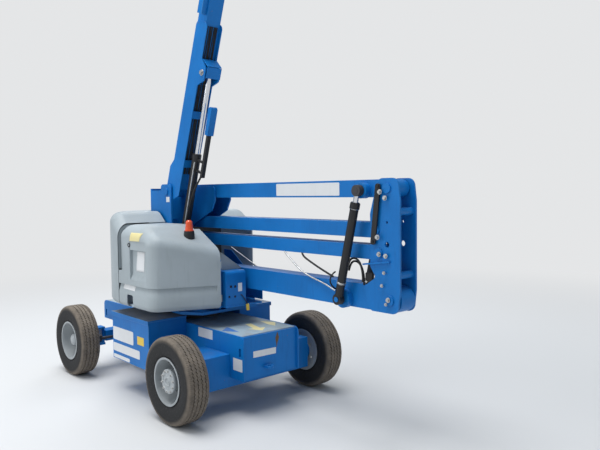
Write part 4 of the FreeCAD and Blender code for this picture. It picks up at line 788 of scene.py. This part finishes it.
# Where the hoses on the riser run. Both loops follow one line seen from the side, and each
# has its own place across the machine and its own rise.
SILVER_RUN = (
    (1419, 84, 1404), (1436, 70, 1388), (1497, 66, 1352), (1560, 66, 1306), (1621, 66, 1265),
    (1710, 64, 1225), (1801, 62, 1200), (1900, 58, 1180), (1990, 52, 1155), (2060, 44, 1130),
)
BLACK_RUN = (
    (1640, 84, 1402), (1660, 70, 1376), (1720, 66, 1350), (1803, 64, 1316), (1900, 60, 1280),
    (2030, 54, 1238),
)
LOOP_RUN = ((2196, 1300), (2215, 1365), (2262, 1385), (2315, 1362), (2345, 1300), (2352, 1240), (2350, 1205))
LOOP_SIDES = ((58, 0), (44, 24))
FOOT_RUN = (
    (2172, -66, 1300), (2140, -68, 1280), (2112, -66, 1240), (2102, -50, 1200), (2104, -20, 1165),
    (2106, 20, 1150),
)


def riser_details():
    """Hoses, bolts and fittings about the riser and the mid pivot."""
    hoses = [("silver_hose", 0.0065, ZINC, SILVER_RUN), ("black_hose_low", 0.008, HOSE_BLACK, BLACK_RUN)]
    for index, (side, rise) in enumerate(LOOP_SIDES):
        hoses.append((f"loop_hose_{index}", 0.008, HOSE_BLACK, [(x, side, z + rise) for x, z in LOOP_RUN]))
    hoses.append(("foot_hose", 0.006, HOSE_BLACK, FOOT_RUN))
    for name, radius, mat, spots in hoses:
        tube(name, places(*spots), radius, mat, *LOWER_ARM)
    # Valve block and fittings seen through the mid pivot's notch
    for name, low, high, mat in (
        ("notch_block", (2362, 54, 1212), (2436, 72, 1300), PLASTIC_BLACK),
        ("notch_fitting", (2366, 46, 1226), (2392, 53, 1240), ZINC),
        ("notch_valve", (2440, 54, 1226), (2470, 70, 1268), CASTING),
    ):
        made = bmesh.new()
        size = (Vector(high) - Vector(low)) / 1000
        bmesh.ops.create_cube(made, size=1.0, matrix=Matrix.Diagonal((*size, 1.0)))
        bmesh.ops.bevel(made, geom=list(made.edges), offset=0.005, segments=2, affect="EDGES")
        middle = (at(*low) + at(*high)) / 2
        finish_piece(from_bmesh(name, made, middle), mat, *MID_PIVOT, smooth=False)
    # Bolt heads: their size and height, the face that they stand on, and their places on it
    for size, height, face, heads in (
        (0.021, 0.016, 21.5, ((2535, 1896), (2512, 1570))),
        (0.020, 0.014, 33.5, ((2571, 1852), (2515, 1446), (2577, 1437), (2598, 1122))),
        (0.014, 0.010, 33.5, ((2578, 1088), (2560, 1314), (2540, 1220))),
    ):
        spots = [(at(x, face, z), (0, -1, 0)) for x, z in heads]
        hexagon_heads(f"mid_pivot_bolts_{face:.0f}_{len(heads)}", spots, size, height, ZINC, *MID_PIVOT)


def strap_band(name, start, end, radius, wide, mat, body, slot):
    """A band round a bar, halfway between two places on the bar's own line."""
    a, b = at(*start), at(*end)
    turn = (b - a).to_track_quat("Z", "Y").to_matrix().to_4x4()
    made = bmesh.new()
    bmesh.ops.create_cone(
        made,
        cap_ends=True,
        segments=40,
        radius1=radius,
        radius2=radius,
        depth=wide,
        matrix=Matrix.Translation((a + b) / 2) @ turn,
    )
    return finish_piece(from_bmesh(name, made), mat, body, slot)


def cylinder_details():
    """Bands round the barrels of the riser's cylinders."""
    foot = Vector(RISER_FOOT)
    run = Vector(RISER_HEAD) - foot
    for index, side in enumerate((-12, 312)):
        for share, wide in ((0.155, 0.016), (0.845, 0.018)):
            spot = foot + run * share + Vector((0, side, 0))
            name = f"cylinder_band_{index}_{int(share * 100)}"
            near, far = spot - run * 0.001, spot + run * 0.001
            strap_band(name, near, far, 0.0352, wide, ZINC, "riser_barrels", "cylinder_black")


def along_bar(pin, angle, along, above, side):
    """A place in the frame of a bar that rises at an angle from its pin, in millimetres."""
    cos, sin = math.cos(angle), math.sin(angle)
    return at(pin[0] + along * cos - above * sin, pin[1] + side, pin[2] + along * sin + above * cos)


def along_boom(along, above, side):
    """A place in the boom's own frame."""
    return along_bar(BOOM_PIN, BOOM_ANGLE, along, above, side)


def along_lift(along, ahead, side):
    """A place in the lift cylinder's own frame."""
    return along_bar(LIFT_FOOT, LIFT_ANGLE, along, -ahead, side)


def slab(name, where, corners, sides, mat, body, slot):
    """A flat piece in a frame of its own: its outline, between two sides."""
    points = [where(along, above, side) for side in sides for along, above in corners]
    item = outward(mesh_piece(name, points, prism_faces(len(corners))))
    soft = item.modifiers.new("soft_edges", "BEVEL")
    soft.width = 0.002
    soft.segments = 2
    return finish_piece(item, mat, body, slot, smooth=False)


def boom_details():
    """The hoses in the boom's open side and the box round the cylinder's head pin."""
    hoses = 7
    pitch = 16
    depth = -163.5
    stations = range(230, 1640, 60)
    for index in range(hoses):
        run = []
        for along in stations:
            sway = 3 * math.sin(along / 130 + 2 * index)
            run.append(along_boom(along, depth, pitch * (index - hoses // 2) + sway))
        tube(f"boom_hose_{index}", run, 0.005, HOSE_BLACK, *BOOM)
    # Two plates join the ears over the cylinder's head, open below for the rod
    for name, corners in (
        ("ear_front", [(1172, -299), (1272, -299), (1272, -305), (1172, -305)]),
        ("ear_top", [(1274, -298), (1320, -205), (1326, -208), (1279, -304)]),
    ):
        slab(name, along_boom, corners, (-76, 76), PAINT, *BOOM)
    pin_end = along_boom(1208, -237, -84)
    hexagon_heads("ear_pin_head", [(pin_end, (0, -1, 0))], 0.030, 0.018, ZINC, *BOOM)


def hose_carrier():
    """The carrier on the lift cylinder: a bar on two arms, its hood and a hose down to the foot."""
    bar = [(640, 126), (1070, 126), (1070, 160), (640, 160)]
    hood = [(1040, 118), (1280, 118), (1296, 128), (1300, 143), (1296, 158), (1280, 168), (1040, 168)]
    slab("carrier_bar", along_lift, bar, (-18, 18), PLASTIC_BLACK, *LIFT_BARREL)
    slab("carrier_hood", along_lift, hood, (-34, 34), PAINT, "lift_barrel", "blue_paint")
    for middle in (680, 780):
        arm = [(middle - 12, 34), (middle + 12, 34), (middle + 12, 130), (middle - 12, 130)]
        slab(f"carrier_arm_{middle}", along_lift, arm, (-14, 14), SATIN_BLACK, *LIFT_BARREL)
    hose = (
        (680, 143, -8), (640, 142, -16), (600, 138, -30), (560, 131, -42), (500, 119, -50), (440, 106, -52),
        (320, 80, -50), (200, 66, -48), (110, 62, -48), (60, 56, -48),
    )
    pipe = ((90, 30, -40), (110, 40, -44), (160, 42, -44), (700, 42, -44), (760, 40, -40))
    for name, radius, mat, spots in (
        ("carrier_hose", 0.009, HOSE_BLACK, hose),
        ("barrel_pipe", 0.006, ZINC, pipe),
    ):
        tube(name, [along_lift(*spot) for spot in spots], radius, mat, *LIFT_BARREL)


def turntable_details():
    """The valve box's sockets, the sloping hood behind it, the gas strut and the plug on its lead."""
    front = front_of("valve_box")
    sockets = ((-127, 1060, 0.011), (-80, 1056, 0.011), (-146, 969, 0.009), (-82, 966, 0.009))
    for index, (y, z, radius) in enumerate(sockets):
        ends = ((front - 10, y, z), (front - 2, y, z))
        strap_band(f"socket_{index}", *ends, radius, 0.008, PLASTIC_BLACK, *TURNTABLE)
    hood = [(-148, 1199), (-148, 1361), (-120, 1344), (84, 1199)]
    points = [at(x, y, z) for x in (700, 806) for y, z in hood]
    item = mesh_piece("pump_hood", points, prism_faces(len(hood)))
    finish_piece(item, COVER_SHADE, *TURNTABLE, smooth=False)
    strut = ((376, 279, 1353), (600, 279, 1265), (852, 279, 1167))
    lead = (
        (front - 2, -17, 976), (front + 8, -15, 974), (front + 12, 0, 955), (front + 12, 20, 925),
        (front + 13, 36, 900), (front + 14, 44, 882),
    )
    plug = ((front + 14, 44, 884), (front + 14, 46, 860), (front + 14, 50, 828))
    for name, radius, mat, spots in (
        ("gas_strut", 0.008, ZINC, strut),
        ("plug_lead", 0.0042, HOSE_BLACK, lead),
        ("plug", 0.015, PLATE_YELLOW, plug),
    ):
        tube(name, places(*spots), radius, mat, *TURNTABLE)


def cover_details():
    """The tail cover's return flange behind the seam, and the latch beside the window."""
    tree = surface("cover_rear")
    seam_gap = 0.014
    skin_deep = 0.004
    flange_deep = 0.050
    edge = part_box("cover_right")[0].x - seam_gap
    heart = Vector((edge - 0.006, -0.45, 1.20))
    outer, inner = [], []
    # The flange follows the tail cover's skin, felt from outside toward the heart of the section
    for step in range(25):
        angle = math.radians(178 - step * 3.6)
        way = Vector((0, math.cos(angle), math.sin(angle)))
        hit = tree.ray_cast(heart + way * 1.2, -way, 1.0)[0]
        if hit is None:
            continue
        skin = Vector((edge, hit.y, hit.z))
        outer.append(skin - way * skin_deep)
        inner.append(skin - way * flange_deep)
    count = len(outer)
    thick = Vector((0.003, 0, 0))
    points = outer + inner + [p - thick for p in outer] + [p - thick for p in inner]
    faces = []
    for i in range(count - 1):
        j = i + 1
        faces.append((i, j, count + j, count + i))
        faces.append((3 * count + i, 3 * count + j, 2 * count + j, 2 * count + i))
        faces.append((i, 2 * count + i, 2 * count + j, j))
        faces.append((count + i, count + j, 3 * count + j, 3 * count + i))
    finish_piece(mesh_piece("tail_flange", points, faces), COVER, "turntable", "cover_plastic", smooth=False)
    profile = [(0.0, 0.001), (0.012, 0.001), (0.013, -0.003), (0.019, -0.004), (0.021, 0.002)]
    finish_piece(lathe("latch_ring", profile, at(291, -790, 1443), 40), PLASTIC_BLACK, *SIDE_COVER)


# Floor, light and camera

def stage():
    """A pale floor that fades into the background away from the machine."""
    data = bpy.data.meshes.new("floor")
    size = 60.0
    corners = [(-size, -size, 0), (size, -size, 0), (size, size, 0), (-size, size, 0)]
    data.from_pydata(corners, [], [(0, 1, 2, 3)])
    floor = linked("floor", data)
    mat, tree, shader = new_material("pale_floor")
    shader.inputs["Base Color"].default_value = (*FLOOR, 1.0)
    shader.inputs["Roughness"].default_value = 0.9
    shader.inputs["Specular IOR Level"].default_value = 0.1
    out = next(n for n in tree.nodes if n.type == "OUTPUT_MATERIAL")
    spot = add_node(tree, "ShaderNodeNewGeometry").outputs["Position"]
    reach = add_node(tree, "ShaderNodeVectorMath", {0: spot}, operation="LENGTH").outputs["Value"]
    far = ramp(tree, reach, *FLOOR_FADE)
    glow = add_node(tree, "ShaderNodeEmission", {"Color": (*BACKGROUND, 1.0), "Strength": 1.0})
    mix = add_node(tree, "ShaderNodeMixShader", {0: far, 1: shader.outputs[0], 2: glow.outputs[0]})
    tree.links.new(mix.outputs[0], out.inputs["Surface"])
    data.materials.append(mat)


def light(name, place, target, size, power):
    """A round soft lamp that looks at a target."""
    data = bpy.data.lights.new(name, "AREA")
    data.shape = "DISK"
    data.size = size
    data.energy = power
    item = linked(name, data, place)
    way = Vector(target) - Vector(place)
    item.rotation_mode = "QUATERNION"
    item.rotation_quaternion = way.to_track_quat("-Z", "Y")


def studio():
    """Soft light from above and from the camera's left, in a pale room."""
    scene = bpy.context.scene
    scene.view_settings.view_transform = "Standard"
    world = bpy.data.worlds.new("room")
    scene.world = world
    world.use_nodes = True
    tree = world.node_tree
    tree.nodes.clear()
    out = tree.nodes.new("ShaderNodeOutputWorld")
    room = add_node(tree, "ShaderNodeBackground", {"Color": (0.80, 0.90, 1.0, 1.0), "Strength": 0.42})
    seen = add_node(tree, "ShaderNodeBackground", {"Color": (*BACKGROUND, 1.0), "Strength": 1.0})
    path = tree.nodes.new("ShaderNodeLightPath")
    mix = tree.nodes.new("ShaderNodeMixShader")
    tree.links.new(path.outputs["Is Camera Ray"], mix.inputs[0])
    tree.links.new(room.outputs[0], mix.inputs[1])
    tree.links.new(seen.outputs[0], mix.inputs[2])
    tree.links.new(mix.outputs[0], out.inputs["Surface"])
    light("overhead", (-0.7, -3.0, 18.0), (-0.3, 0, 1.0), 14.0, 3600)
    light("side", (-2.5, -9.0, 5.0), (-0.3, 0, 1.2), 5.0, 230)
    light("back", (-7.0, 5.0, 7.0), (0.0, 0, 1.5), 4.0, 150)


def camera():
    """The camera that took the photo."""
    data = bpy.data.cameras.new("photo_view")
    data.sensor_width = 36.0
    data.lens = CAMERA_LENS
    data.clip_start = 0.05
    data.clip_end = 200.0
    item = linked("photo_view", data, CAMERA_PLACE)
    yaw = math.radians(CAMERA_YAW)
    down = math.radians(CAMERA_DOWN)
    look = Vector((-math.sin(yaw) * math.cos(down), math.cos(yaw) * math.cos(down), -math.sin(down)))
    item.rotation_mode = "QUATERNION"
    roll = Quaternion((0, 0, 1), math.radians(CAMERA_ROLL))
    item.rotation_quaternion = look.to_track_quat("-Z", "Y") @ roll
    bpy.context.scene.camera = item


wheels()
cad_pieces()
wheel_hubs()
beacon_look()
rod_eyes()
plates()
riser_details()
cylinder_details()
boom_details()
hose_carrier()
turntable_details()
cover_details()
stage()
studio()
camera()
